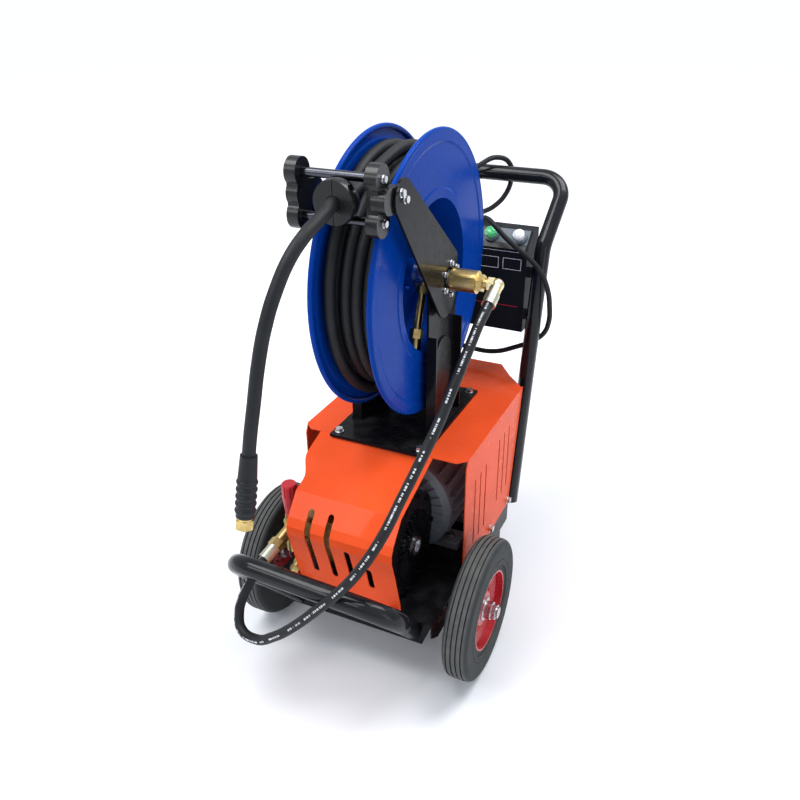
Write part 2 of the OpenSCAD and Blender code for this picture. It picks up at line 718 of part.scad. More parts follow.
rib_n = 28;
module pump_case_cover() color(black) difference() {
    union() {
        along_x(case_x1, case_x1 + case_cover_t) case_outline(case_r);
        // Cooling ribs set like rays round the sight glass
        for (a = [0 : 360 / rib_n : 359]) translate([case_x1, case_y, motor_z - 6]) rotate([a, 0, 0])
            translate([0, sight_d / 2 + 16, -1.6]) cube([case_cover_t + 6, case_r - sight_d / 2 - 38, 3.2]);
        rod([case_x1, case_y, motor_z - 6], [case_x1 + case_cover_t + 5, case_y, motor_z - 6],
            sight_d / 2 + 7);
        // Bolt heads round the edge
        for (a = [0 : 36 : 324])
            translate([case_x1 + case_cover_t, case_y + (case_r - 8) * cos(a),
                (case_low + case_high) / 2 + (case_r - 8) * sin(a) + 11 * sign(round(10 * sin(a)))])
                rotate([0, 90, 0]) cylinder(h = 5, r = 5, $fn = 6);
    }
    rod([case_x1 + 2, case_y, motor_z - 6], [case_x1 + 40, case_y, motor_z - 6], sight_d / 2 + 0.1);
}

module oil_sight_glass() color(steel) round_x(case_x1 + 2, case_y, motor_z - 6) {
    square([sight_d / 2 - 4, 8]);
    translate([sight_d / 2 - 5, 0]) square([5, case_cover_t + 8]);
}

module pump_crankshaft() color(steel) {
    for (i = [-1 : 1]) rod(
        [motor_x, case_y + i * plunger_pitch - 8, motor_z] + throw_at(i),
        [motor_x, case_y + i * plunger_pitch + 8, motor_z] + throw_at(i), 18);
    rod([motor_x, crank_y0, motor_z], [motor_x, crank_y1, motor_z], shaft_d / 2);
}
throw = 8;
function throw_at(i) = [throw * cos(120 * i), 0, throw * sin(120 * i)];

plunger_in = motor_x - 18 - throw - 2;
module pump_plungers() color(steel) for (i = [-1 : 1]) rod(
    [head_x + 30, case_y + i * plunger_pitch, motor_z], [plunger_in, case_y + i * plunger_pitch, motor_z],
    plunger_d / 2);

head_y0 = case_y - plunger_pitch - 24;
head_y1 = case_y + plunger_pitch + 24;
cap_d = 26;
module pump_head() color(brass) difference() {
    union() {
        translate([head_x + 18, head_y0, head_low]) cube([case_x0 - head_x - 18, head_y1 - head_y0, 84]);
        // Cylinder barrels over the plungers and the two galleries
        for (i = [-1 : 1]) rod(
            [head_x + 10, case_y + i * plunger_pitch, motor_z],
            [case_x0, case_y + i * plunger_pitch, motor_z], 17);
        for (z = [head_low + 18, head_high - 18])
            rod([head_x + 18, head_y0 - 10, z], [head_x + 18, head_y1 + 10, z], 17);
    }
    for (i = [-1 : 1]) rod(
        [head_x + 22, case_y + i * plunger_pitch, motor_z],
        [case_x0 + 1, case_y + i * plunger_pitch, motor_z],
        plunger_d / 2 + run);
}

outlet_p = [unloader_x, unloader_y, motor_z + 3];
outlet_way = unit([-0.16, -1, -0.31]);
inlet = [-108, -92, floor_z + 42];
inlet_way = [0, -0.8, -0.6];
inlet_r = 9;
module pump_fittings() color(brass) {
    // Valve caps on the top and the end of the head
    for (i = [-1 : 1]) {
        rod([head_x + 44, case_y + i * plunger_pitch, head_high],
            [head_x + 44, case_y + i * plunger_pitch, head_high + 14], cap_d / 2, 6);
        rod([head_x + 10, case_y + i * plunger_pitch, motor_z], [head_x, case_y + i * plunger_pitch, motor_z],
            cap_d / 2, 6);
    }
    // Inlet: elbow out of the lower gallery and a spout for the supply hose
    rod([head_x + 16, inlet.y + 6, inlet.z + 16], inlet, inlet_r);
    translate(inlet) sphere(r = inlet_r + 1);
    rod(inlet, inlet + inlet_way * 40, inlet_r);
    rod(inlet + inlet_way * 10, inlet + inlet_way * 18, inlet_r + 1.5, 6);
    // Outlet: pipe out of the unloader and a hexagon for the hose
    rod(outlet_p, outlet_p + outlet_way * 38, 11);
    rod(outlet_p + outlet_way * 38, outlet_p + outlet_way * 53, 14, 6);
}

unloader_r = 15;
module unloader_body() color(brass) difference() {
    union() {
        rod(outlet_p - [0, 0, 46], [unloader_x, unloader_y, knob_z - 12], unloader_r);
        rod([unloader_x, unloader_y, knob_z - 12], [unloader_x, unloader_y, knob_z - gap], 13, 6);
        rod([unloader_x, unloader_y, knob_z - gap], [unloader_x, unloader_y, knob_z + 30], 6);
        // Bridge to the delivery gallery
        rod([unloader_x, unloader_y, head_high - 18 - 40], [head_x + 1, unloader_y, head_high - 18 - 40], 10);
    }
    rod(outlet_p, outlet_p + outlet_way * 30, 11);
}

module unloader_knob() color(red) translate([unloader_x, unloader_y, knob_z]) difference() {
    rotate_extrude() polygon([
        [6 + run, 0], [10, 0], [10.5, 6], [14, knob_len * 0.6], [14, knob_len - 3], [12, knob_len],
        [0, knob_len],
        [0, 32], [6 + run, 32]
    ]);
    for (a = [0 : 45 : 315]) rotate(a) translate([15, 0, knob_len * 0.65]) cylinder(h = knob_len, r = 2.5);
}

// Reel stand

module reel_base() color(black)
    translate([base_x - base_w / 2, base_y0, cover_z]) cube([base_w, base_len, base_t]);

// A post, drawn for the right side with the reel's middle at X = 0
emboss_y = reel_y;
module reel_post() difference() {
    union() {
        along_x(post_in, post_in + plate_t) {
            translate([reel_y - post_w / 2, base_z]) square([post_w, reel_rise]);
            translate([reel_y, reel_z]) circle(d = post_w);
        }
        // Side returns, foot and oval pressing
        for (y = [reel_y - post_w / 2, reel_y + post_w / 2 - plate_t])
            translate([post_in, y, base_z]) cube([18, plate_t, reel_rise * 0.68]);
        translate([post_in, reel_y - post_w / 2, base_z]) cube([20, post_w, plate_t]);
        along_x(post_in, post_in + plate_t + 3)
            stadium([reel_y, base_z + 90], [reel_y, base_z + 130], post_w * 0.6);
    }
    along_x(post_in - 1, post_in + plate_t)
        stadium([reel_y, base_z + 90], [reel_y, base_z + 130], post_w * 0.6 - 8);
    rod([0, reel_y, reel_z], [2 * post_in, reel_y, reel_z], spindle_r + 4.1);
}

module reel_post_right() color(black) translate([reel_x, 0, 0]) reel_post();
module reel_post_left() color(black) translate([reel_x, 0, 0]) mirror([1, 0, 0]) reel_post();

module reel_bearings() color(steel) translate([reel_x, 0, 0]) mirror_x()
    round_x(post_in, reel_y, reel_z) {
        translate([spindle_r + run, 0]) square([4 - run, plate_t]);
        translate([spindle_r + run, plate_t]) square([bearing_r - spindle_r - run, bearing_t]);
    }

spindle_end = arm_in + plate_t + 2;
module reel_shaft() color(steel) translate([reel_x, 0, 0]) difference() {
    union() {
        rod([-spindle_end, reel_y, reel_z], [spindle_end, reel_y, reel_z], spindle_r);
        rod([spindle_end, reel_y, reel_z], [spindle_end + 24, reel_y, reel_z], 10);
    }
    rod([10, reel_y, reel_z], [spindle_end + 30, reel_y, reel_z], 6);
}

// Spun flange, drawn for the right side with the reel's middle at X = 0
module reel_flange() color(blue) round_x(0, reel_y, reel_z) {
    polygon(sheet([
        [drum_r, flange_in + rim_step], [drum_r + 12, flange_in + rim_step], [drum_r + 15, flange_in],
        [flange_r - 24, flange_in], [flange_r - 20, flange_in + rim_step],
        [flange_r - bead_r, flange_in + rim_step]
    ], reel_t));
    translate([flange_r - bead_r, reel_w / 2 - bead_r]) circle(r = bead_r);
}

module reel_flange_right() translate([reel_x, 0, 0]) reel_flange();
module reel_flange_left() translate([reel_x, 0, 0]) mirror([1, 0, 0]) reel_flange();

web_x = -flange_in + 16;
hub_r = spindle_r + 9;
module reel_drum() color(blue) translate([reel_x, 0, 0]) difference() {
    round_x(0, reel_y, reel_z) {
        translate([drum_r - reel_t, -flange_in - rim_step - reel_t])
            square([reel_t, 2 * (flange_in + rim_step + reel_t)]);
        polygon(sheet([
            [hub_r - 1, web_x + 12], [hub_r + 12, web_x + 12], [hub_r + 20, web_x], [drum_r - 1, web_x]
        ], 3));
        translate([spindle_r, web_x - 16]) square([hub_r - spindle_r, 70]);
    }
    for (a = [30 : 60 : 330]) translate([web_x - 20, reel_y, reel_z]) rotate([a, 0, 0])
        translate([0, drum_r * 0.68, 0]) rotate([0, 90, 0]) cylinder(h = 50, r = 15);
}

// Pipe from the hollow shaft to the drum wall, with a nut at each end
outlet_a = 250;
outlet_x = 34;
module drum_outlet() color(brass) translate([reel_x + outlet_x, reel_y, reel_z]) rotate([outlet_a, 0, 0]) {
    difference() {
        union() {
            rod([0, spindle_r - 3, 0], [0, drum_r - reel_t - 2, 0], 7);
            rod([0, spindle_r + 4, 0], [0, spindle_r + 16, 0], 11, 6);
            rod([0, drum_r - reel_t - 36, 0], [0, drum_r - reel_t - 20, 0], 12, 6);
            rod([0, drum_r - reel_t - 20, 0], [0, drum_r - reel_t - 0.6, 0], 10);
        }
        rod([-40, 0, 0], [40, 0, 0], spindle_r + 0.1);
    }
}

swivel_x = reel_x + spindle_end + 2;
module swivel() color(brass) difference() {
    union() {
        rod([swivel_x, reel_y, reel_z], [swivel_x + 44, reel_y, reel_z], 19);
        rod([swivel_x + 44, reel_y, reel_z], [swivel_x + 54, reel_y, reel_z], 15, 6);
        rod([swivel_x + 54, reel_y, reel_z], [swivel_x + 62, reel_y, reel_z], 9);
    }
    rod([swivel_x - 1, reel_y, reel_z], [swivel_x + 30, reel_y, reel_z], 10 + run);
}

elbow_x = 158;
elbow_p = [elbow_x, reel_y, reel_z];
elbow_way = [0, -0.9, -0.4359];
module swivel_elbow() color(steel) {
    rod([swivel_x + 62, reel_y, reel_z], [swivel_x + 72, reel_y, reel_z], 12, 6);
    rod([swivel_x + 72, reel_y, reel_z], [elbow_x, reel_y, reel_z], 9);
    translate(elbow_p) sphere(r = 11);
    rod(elbow_p, elbow_p + elbow_way * 22, 10);
}

// Hose guide

arm_end = [guide_y + 36, guide_z - 2];
arm_way = unit(arm_end - [reel_y, reel_z]);
arm_bolts = [arm_end - arm_way * 2, arm_end + arm_way * 14];
module guide_arm() difference() {
    along_x(arm_in, arm_in + plate_t) hull() {
        translate([reel_y - 14, reel_z - 22]) circle(r = 40, $fn = 48);
        translate([reel_y + 18, reel_z + 30]) circle(r = 12, $fn = 32);
        translate(arm_end) circle(r = 28, $fn = 32);
    }
    rod([0, reel_y, reel_z], [2 * arm_in, reel_y, reel_z], spindle_r + 1);
}

module guide_arm_right() color(black) translate([reel_x, 0, 0]) guide_arm();
module guide_arm_left() color(black) translate([reel_x, 0, 0]) mirror([1, 0, 0]) guide_arm();

module guide_blocks() color(black) for (s = [-1, 1])
translate([guide_x, 0, 0]) mirror([s < 0 ? 1 : 0, 0, 0]) difference() {
    union() {
        along_x(guide_half, guide_half + block_t) {
            for (z = roller_zs) translate([guide_y, z]) circle(d = lobe_d);
            translate([guide_y - lobe_d * 0.36, guide_z - roller_gap / 2])
                square([lobe_d * 0.72, roller_gap]);
        }
        // Tail that the guide arm is bolted to
        along_x(max(guide_half, reel_w / 2 + 2 + s * (reel_x - guide_x)), arm_in + s * (reel_x - guide_x))
            stadium([guide_y, guide_z], arm_bolts[0], 36);
    }
    for (z = roller_zs)
        rod([guide_half - 1, guide_y, z], [guide_half + block_t * 0.6, guide_y, z], pin_r + run);
}

module roller(z) color(steel) {
    rod([guide_x - guide_half + gap, guide_y, z], [guide_x + guide_half - gap, guide_y, z], roller_d / 2);
    pin_end = guide_half + block_t / 2;
    rod([guide_x - pin_end, guide_y, z], [guide_x + pin_end, guide_y, z], pin_r);
}

module roller_bottom() roller(roller_zs[0]);
module roller_top() roller(roller_zs[1]);

// A ball with a flat front, in two halves clamped on the hose
module hose_stop() color(black) translate([stop_x, stop_y, guide_z]) difference() {
    sphere(r = stop_r, $fn = 64);
    translate([-stop_d, -stop_d - stop_r * 0.3, -stop_d]) cube([2 * stop_d, stop_d, 2 * stop_d]);
    rod([0, -2 * stop_r, 0], [0, 2 * stop_r, 0], jet_r + 2 * gap);
    translate([-0.5, -2 * stop_r, -2 * stop_r]) cube([1, 4 * stop_r, 4 * stop_r]);
    for (s = [-1, 1], x = [-1, 1]) translate([x * stop_r, 0, s * stop_r * 0.62]) rotate([0, 90, 0])
        cylinder(h = stop_r * 0.7, r = 6, center = true);
}

// Hoses and cable

module hose_core() color(rubber) round_x(reel_x, reel_y, reel_z)
    translate([drum_r + gap, gap - flange_in]) square([core_r - drum_r - gap, 2 * (flange_in - gap)]);

// The hose fills one layer from right to left, climbs, and starts a second layer on top
low_end = 4 * wind_rings;
high_start = low_end + wind_rings / 4;
wind_end = high_start + 0.75 * wind_rings;
function wind_x(i) = 2 - min(i, low_end) / wind_rings + 0.8 * max(i - high_start, 0) / wind_rings;
function wind_climb(i) = min(max((i - low_end) / (high_start - low_end), 0), 1);
function wound(i) = let (
    a = 360 * (i - wind_end) / wind_rings - 96,
    r = wind_low + (wind_high - wind_low) * wind_climb(i)
) [reel_x + wind_pitch * wind_x(i), reel_y + r * cos(a), reel_z + r * sin(a)];
wind_line = [for (i = [0 : wind_end]) wound(i)];
module hose_winding() color(rubber) sweep(wind_line, jet_r, 6);
echo(winding_gap = least_gap(wind_line, jet_d, wind_rings / 2));

lead_r = wind_low + jet_d + 4 * gap;
lead_x = -8;
function lead_arc(a) = [lead_x, reel_y + lead_r * cos(a), reel_z + lead_r * sin(a)];
guide_in = [4, guide_y + 6, guide_z];
// Straight from the top of the reel to the guide, and level through it
jet_lead = concat(
    [for (p = [[-7, 0.222], [-4, 0.435], [0, 0.648], [3.5, 0.851]])
        let (q = (1 - p[1]) * lead_arc(96) + p[1] * guide_in) [p[0], q.y, q.z]],
    [for (d = [0, 20, 40]) guide_in - [0, d, 0]]
);
jet_line = concat(
    [for (a = [-84 : 6 : 96]) lead_arc(a)],
    curve(concat(jet_lead, jet_tail), 2)
);
module jet_hose() color(rubber) sweep(jet_line, jet_r, 10);

grip_top = jet_tail[len(jet_tail) - 1];
grip_way = unit(grip_top - jet_tail[len(jet_tail) - 2]);
grip_len = 60;
grip_ribs = 5;
// Turns the +Z axis to the way that the hose's end points
module at_grip() translate(grip_top)
    rotate([0, acos(grip_way.z), atan2(grip_way.y, grip_way.x)]) children();

module hose_grip() color(rubber) at_grip() difference() {
    union() {
        translate([0, 0, -34]) cylinder(h = 34, r1 = jet_r + 2.5, r2 = jet_r + 4);
        cylinder(h = grip_len, r = jet_r + 3.5);
        for (i = [0 : grip_ribs - 1]) translate([0, 0, 6 + i * 11]) rotate_extrude()
            translate([jet_r + 1.5, 0]) circle(r = 4);
    }
    translate([0, 0, -40]) cylinder(h = 41, r = jet_r + gap);
}

module hose_end() color(brass) at_grip() translate([0, 0, grip_len]) {
    cylinder(h = 4, r = jet_r + 2);
    translate([0, 0, 4]) difference() {
        cylinder(h = 14, r = jet_r + 4, $fn = 6);
        translate([0, 0, 4]) cylinder(h = 20, r = 6);
    }
}

link_line = curve(concat(
    [for (d = [46, 53, 60]) elbow_p + elbow_way * d], [for (p = link_drop) elbow_p + p], link_route,
    [for (d = [93, 87, 81]) outlet_p + outlet_way * d]
), 2);
module link_hose() color(rubber) sweep(link_line, link_d / 2, 10);

module link_ferrules() color(steel) {
    rod(elbow_p + elbow_way * 22, elbow_p + elbow_way * 46, link_d / 2 + 3);
    rod(outlet_p + outlet_way * 53, outlet_p + outlet_way * 81, link_d / 2 + 3);
}

// Control box

module control_box() color(black) difference() {
    union() {
        along_x(-box_x, box_x) polygon([
            [box_y, box_z], [box_y + box_depth, box_z], [box_y + box_depth, box_top + panel_rise],
            [box_y + panel_run, box_top + panel_rise], [box_y, box_top]
        ]);
        // Lugs to the uprights
        mirror_x() for (h = [40, 120]) translate([box_x - 1, upright_y(box_z + h) - 8, box_z + h - 8])
            cube([handle_x - tube_r - box_x + 1 - gap, 16, 16]);
    }
    along_x(-box_x + 2, box_x - 2) polygon([
        [box_y + 2, box_z + 2], [box_y + box_depth - 2, box_z + 2],
        [box_y + box_depth - 2, box_top + panel_rise - 2],
        [box_y + panel_run + 1, box_top + panel_rise - 2], [box_y + 2, box_top - 1]
    ]);
    for (x = button_xs) at_panel(x) translate([0, 0, -20]) cylinder(h = 40, r = button_d / 2 - 3);
}

// Places children on the sloping panel, with +Z out of it
module at_panel(x) translate([x, box_y + panel_run * 0.58, box_top + panel_rise * 0.58])
    rotate([panel_tilt, 0, 0]) children();

module control_panel() color(grey) difference() {
    union() {
        at_panel(0) translate([-box_x + 4, -panel_len * 0.58 + 2, 0])
            cube([box_w - 8, panel_len - 4, panel_t]);
        for (x = button_xs) at_panel(x) cylinder(h = panel_t + collar_h, r = button_d / 2 + 4);
    }
    for (x = button_xs) at_panel(x) {
        translate([0, 0, -5]) cylinder(h = 40, r = button_d / 2 - 4 + run);
        translate([0, 0, panel_t]) cylinder(h = 40, r = button_d / 2 + run);
    }
}

module push_button(x) at_panel(x) {
    translate([0, 0, panel_t + button_travel + gap]) cylinder(h = collar_h + 4, r = button_d / 2);
    translate([0, 0, panel_t + button_travel + collar_h + 4]) rotate_extrude() intersection() {
        translate([0, -18]) circle(r = 22);
        square([button_d / 2 - 1, 12]);
    }
    translate([0, 0, -6]) cylinder(h = panel_t + button_travel + 8, r = button_d / 2 - 4);
}

module start_button() color("#2fa866") push_button(button_xs[0]);
module stop_button() color("#e8e8e4") push_button(button_xs[1]);

gland_p = cable_route[0];
module gland() color(black) {
    translate([gland_p.x, gland_p.y, box_z - 10]) cylinder(h = 10, r = cable_d / 2 + 6, $fn = 6);
    translate([gland_p.x, gland_p.y, gland_p.z]) cylinder(h = box_z - 10 - gland_p.z, r = cable_d / 2 + 2.5);
}

coil_r = 60;
coil_pitch = cable_d + 0.7;
coil_rings = 24;
coil_x = -42;
coil_z = grip_z + tube_r + cable_d / 2 + gap - coil_r;
function coiled(i) = let (a = 180 + 360 * i / coil_rings)
    [coil_x - coil_pitch * i / coil_rings, grip_y + coil_r * cos(a), coil_z + coil_r * sin(a)];
coil_turns = [for (i = [0 : cable_turns * coil_rings + 3]) coiled(i)];
coil_end = coil_turns[len(coil_turns) - 1];
coil_line = concat(coil_turns, [
    coil_end + [-2, 11, -12], coil_end + [-3, 22, -26], coil_end + [-4, 31, -42],
    coil_end + [-4, 36, -60], coil_end + [-4, 38, -80], coil_end + [-4, 38, -95]
]);
module cable_coil() color(black) sweep(coil_line, cable_d / 2, 6);
echo(coil_gap = least_gap(coil_turns, cable_d, coil_rings / 2));

cable_line = curve(concat(
    cable_route, [for (d = [16, 8, 0]) coil_line[0] - d * unit(coil_line[1] - coil_line[0])]
), 2);
module power_cable() color(black) sweep(cable_line, cable_d / 2, 8);

module plug() color(black) {
    tip = coil_line[len(coil_line) - 1];
    rod(tip - [0, 0, 24], tip, cable_d / 2 + 4);
    rod(tip - [0, 0, 80], tip - [0, 0, 24], 20);
    rod(tip - [0, 0, 88], tip - [0, 0, 80], 23);
}

// Shifts a piece from the axle's line to the part's origin
module placed() translate([0, -origin_y, 0]) children();

placed() tray();
placed() bumper();
placed() handle();
placed() rear_legs();
placed() rear_feet();
placed() axle();
placed() tyre_left();
placed() rim_left();
placed() hub_left();
placed() tyre_right();
placed() rim_right();
placed() hub_right();
placed() cover();
placed() bolts();
placed() motor_frame();
placed() motor_front_bell();
placed() motor_fan_cowl();
placed() motor_rotor();
placed() motor_fan();
placed() pump_crankcase();
placed() pump_case_cover();
placed() oil_sight_glass();
placed() pump_head();
placed() pump_fittings();
placed() pump_crankshaft();
placed() pump_plungers();
placed() unloader_body();
placed() unloader_knob();
placed() reel_base();
placed() reel_post_left();
placed() reel_post_right();
placed() reel_bearings();
placed() reel_shaft();
placed() reel_flange_left();
placed() reel_flange_right();
placed() reel_drum();
placed() drum_outlet();
placed() swivel();
placed() swivel_elbow();
placed() guide_arm_left();
placed() guide_arm_right();
placed() guide_blocks();
placed() roller_top();
placed() roller_bottom();
placed() hose_stop();
placed() hose_core();
placed() hose_winding();
placed() jet_hose();
placed() hose_grip();
placed() hose_end();
placed() link_hose();
placed() link_ferrules();
placed() control_box();
placed() control_panel();
placed() start_button();
placed() stop_button();
placed() gland();
placed() power_cable();
placed() cable_coil();
placed() plug();
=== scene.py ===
# %% [markdown]
# # A drain jetter, finished in Blender
# The machine is a two-wheeled trolley with an electric motor, a plunger pump under an orange
# cover and a hose reel on top. Its rigid pieces come from the construction model as a frame of
# named meshes. This lesson adds what a construction model can't hold: hoses that hang, smooth
# bent tubes, paint, rubber, brass and light. All sizes are in metres.

# %% The frame
import json
import math

import bmesh
import bpy
from mathutils import Matrix, Vector

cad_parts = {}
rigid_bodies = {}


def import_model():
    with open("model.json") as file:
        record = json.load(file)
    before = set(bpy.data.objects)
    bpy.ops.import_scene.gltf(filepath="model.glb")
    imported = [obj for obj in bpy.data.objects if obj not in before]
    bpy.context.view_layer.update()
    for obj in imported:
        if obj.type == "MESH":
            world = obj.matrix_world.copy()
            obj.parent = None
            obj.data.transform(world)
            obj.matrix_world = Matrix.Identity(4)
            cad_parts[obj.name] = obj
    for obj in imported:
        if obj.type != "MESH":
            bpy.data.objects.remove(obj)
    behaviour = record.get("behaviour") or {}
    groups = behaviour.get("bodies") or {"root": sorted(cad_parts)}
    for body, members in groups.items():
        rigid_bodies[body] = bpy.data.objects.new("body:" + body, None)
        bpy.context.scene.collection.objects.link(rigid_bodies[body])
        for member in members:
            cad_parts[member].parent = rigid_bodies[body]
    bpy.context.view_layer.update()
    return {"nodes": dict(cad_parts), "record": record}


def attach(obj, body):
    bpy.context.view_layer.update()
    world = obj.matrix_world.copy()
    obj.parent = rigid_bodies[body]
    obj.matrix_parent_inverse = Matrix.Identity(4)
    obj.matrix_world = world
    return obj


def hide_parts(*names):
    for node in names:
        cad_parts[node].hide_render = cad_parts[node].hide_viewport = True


for old in list(bpy.data.objects):
    bpy.data.objects.remove(old)
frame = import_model()
nodes = frame["nodes"]

# %% [markdown]
# ## The camera
# The photograph was taken from the front right and a little above the reel. A camera that is
# solved from the photo comes first, since every later choice is seen through it. A Track To
# constraint could aim it, but a matrix holds its small roll as well. Blender's camera looks down
# its own -Z, so it is tipped up by a right angle less the downward look, then turned about the
# upright axis; the roll is given before both.

# %% Camera
VIEW_TURN = math.radians(25.444)
VIEW_DOWN = math.radians(28.003)
VIEW_ROLL = math.radians(0.448)
VIEW_PLACE = Vector((0.5384, -1.18637, 1.11157))
LENS_MM, FILM_MM = 35.782, 36
SIGHT = 400

camera_data = bpy.data.cameras.new("photo_camera")
camera_data.lens = LENS_MM
camera_data.sensor_width = FILM_MM
camera_data.clip_end = SIGHT
camera = bpy.data.objects.new("photo_camera", camera_data)
bpy.context.collection.objects.link(camera)
camera.matrix_world = (
    Matrix.Translation(VIEW_PLACE)
    @ Matrix.Rotation(VIEW_TURN, 4, "Z")
    @ Matrix.Rotation(math.pi / 2 - VIEW_DOWN, 4, "X")
    @ Matrix.Rotation(-VIEW_ROLL, 4, "Z")
)
bpy.context.scene.camera = camera
bpy.context.scene.view_settings.view_transform = "Standard"
looks_along = camera.matrix_world.to_3x3() @ Vector((0, 0, -1))
print("camera looks along", [round(c, 3) for c in looks_along])

# %% [markdown]
# ## Hoses and cable as curves
# A hose is a line with a thickness. It could be a mesh swept along a path, but a Bezier curve with
# a round bevel keeps its points few and its length easy to measure: automatic handles carry it
# smoothly through them, as a stiff hose would bend. The points are measured from the floor under
# the middle of the axle, and `from_axle` moves them into the frame. The thickness is given as each
# point's own radius, because Blender adds that radius to a curve's box, and its default is a whole
# metre.

# %% Places measured from the axle
AXLE_BACK = 0.161677


def from_axle(x, y, z):
    return Vector((x, y - AXLE_BACK, z))


def route(*spots):
    return [from_axle(*spot) for spot in spots]


print("the floor under the axle is at", from_axle(0, 0, 0)[:])

# %% Hose curve
HOSE_ROUNDNESS = 6


def hose_curve(name, runs, radius, fineness=8):
    data = bpy.data.curves.new(name, "CURVE")
    data.dimensions = "3D"
    data.bevel_depth = 1
    data.bevel_resolution = HOSE_ROUNDNESS
    data.resolution_u = fineness
    data.use_fill_caps = True
    for run in runs:
        line = data.splines.new("BEZIER")
        line.bezier_points.add(len(run) - 1)
        for spot, knot in zip(run, line.bezier_points):
            knot.co = spot
            knot.radius = radius
            knot.handle_left_type = knot.handle_right_type = "AUTO"
    piece = bpy.data.objects.new(name, data)
    bpy.context.collection.objects.link(piece)
    print(name, "is", [round(line.calc_length(), 4) for line in data.splines], "m long")
    return piece


# %% [markdown]
# ## The jet hose
# The cleaning hose leaves the underside of the winding, follows the last turn up the back of the
# reel and over its top, runs between the two guide rollers, and hangs in front with its ribbed
# grip and brass end. A physics solver could drop it into place, but the photo already shows how
# it hangs. So the part round the reel is an arc from a loop, and the rest is a few chosen points.

# %% Jet hose
JET_D = 0.019
REEL_X, REEL_Y, REEL_Z = -0.0035, 0.143, 0.672
LEAD_X, LEAD_R = -0.008, 0.2042
LEAD_FROM, LEAD_TO, LEAD_STEP = -84, 96, 6  # degrees round the reel


def round_reel(x, radius, degrees):
    turn = math.radians(degrees)
    return from_axle(x, REEL_Y + radius * math.cos(turn), REEL_Z + radius * math.sin(turn))


jet_points = [round_reel(LEAD_X, LEAD_R, a) for a in range(LEAD_FROM, LEAD_TO + 1, LEAD_STEP)]
jet_points += route(
    (-0.007, 0.080, 0.8686), (-0.004, 0.040, 0.8624), (0.000, 0.000, 0.8562),
    (0.0035, -0.038, 0.8503), (0.004, -0.066, 0.846), (0.004, -0.086, 0.846),
    (0.004, -0.106, 0.846), (0.004, -0.122, 0.839), (0.0025, -0.145, 0.831),
    (0.0005, -0.176, 0.8195), (-0.0035, -0.207, 0.799), (-0.010, -0.233, 0.765),
    (-0.017, -0.253, 0.723), (-0.024, -0.267, 0.672), (-0.030, -0.278, 0.615),
    (-0.035, -0.287, 0.567), (-0.039, -0.296, 0.512),
)
jet_hose = hose_curve("free_jet_hose", [jet_points], JET_D / 2)
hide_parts("jet_hose")
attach(jet_hose, "chassis")

# %% [markdown]
# ## The connecting hose
# A short steel-braided hose carries the pressure water from the pump, round the front of the
# bumper, up to the swivel in the reel's axle. Both of its ends are pressed into ferrules, so the
# curve starts and ends with three points in a straight line, which keep it square to them.

# %% Connecting hose
LINK_D = 0.017
ELBOW = from_axle(0.158, 0.143, 0.672)
ELBOW_WAY = Vector((0, -0.9, -0.4359))
ELBOW_STEPS = (0.046, 0.053, 0.060)
OUTLET = from_axle(-0.126, -0.076, 0.253)
OUTLET_WAY = Vector((-0.16, -1, -0.31)).normalized()
OUTLET_STEPS = (0.093, 0.087, 0.081)

link_points = [ELBOW + ELBOW_WAY * d for d in ELBOW_STEPS]
link_points += route(
    (0.157, 0.070, 0.636), (0.156, 0.031, 0.610), (0.152, -0.018, 0.569),
    (0.146, -0.061, 0.524), (0.134, -0.107, 0.473), (0.121, -0.148, 0.426),
    (0.107, -0.180, 0.380), (0.084, -0.206, 0.332), (0.053, -0.221, 0.286),
    (0.015, -0.235, 0.243), (-0.022, -0.242, 0.203), (-0.063, -0.244, 0.165),
    (-0.105, -0.240, 0.138), (-0.140, -0.231, 0.139), (-0.153, -0.216, 0.157),
    (-0.154, -0.202, 0.177), (-0.150, -0.187, 0.195),
)
link_points += [OUTLET + OUTLET_WAY * d for d in OUTLET_STEPS]
link_hose = hose_curve("connecting_hose", [link_points], LINK_D / 2)
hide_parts("link_hose")
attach(link_hose, "chassis")

# %% [markdown]
# ## The power cable
# The cable leaves a gland under the control box, loops past the right upright, and is hung in a
# neat coil over the grip bar. The coil could be a piece of its own, but it is one length of cable
# from the gland to the plug, so it is one curve, with the coil written as a helix.

# %% Power cable
CABLE_D, CABLE_FINENESS = 0.010, 6
COIL_R, COIL_PITCH, COIL_RINGS, COIL_TURNS = 0.060, 0.0107, 24, 7
COIL_AT = (-0.042, 0.5294, 0.7233)
COIL_OVERRUN = 4
COIL_LEAD_IN = (0.016, 0.008)
GLAND_X, GLAND_Y = -0.060, 0.436


def coiled(i):
    turn = math.pi + math.tau * i / COIL_RINGS
    return from_axle(
        COIL_AT[0] - COIL_PITCH * i / COIL_RINGS,
        COIL_AT[1] + COIL_R * math.cos(turn),
        COIL_AT[2] + COIL_R * math.sin(turn),
    )


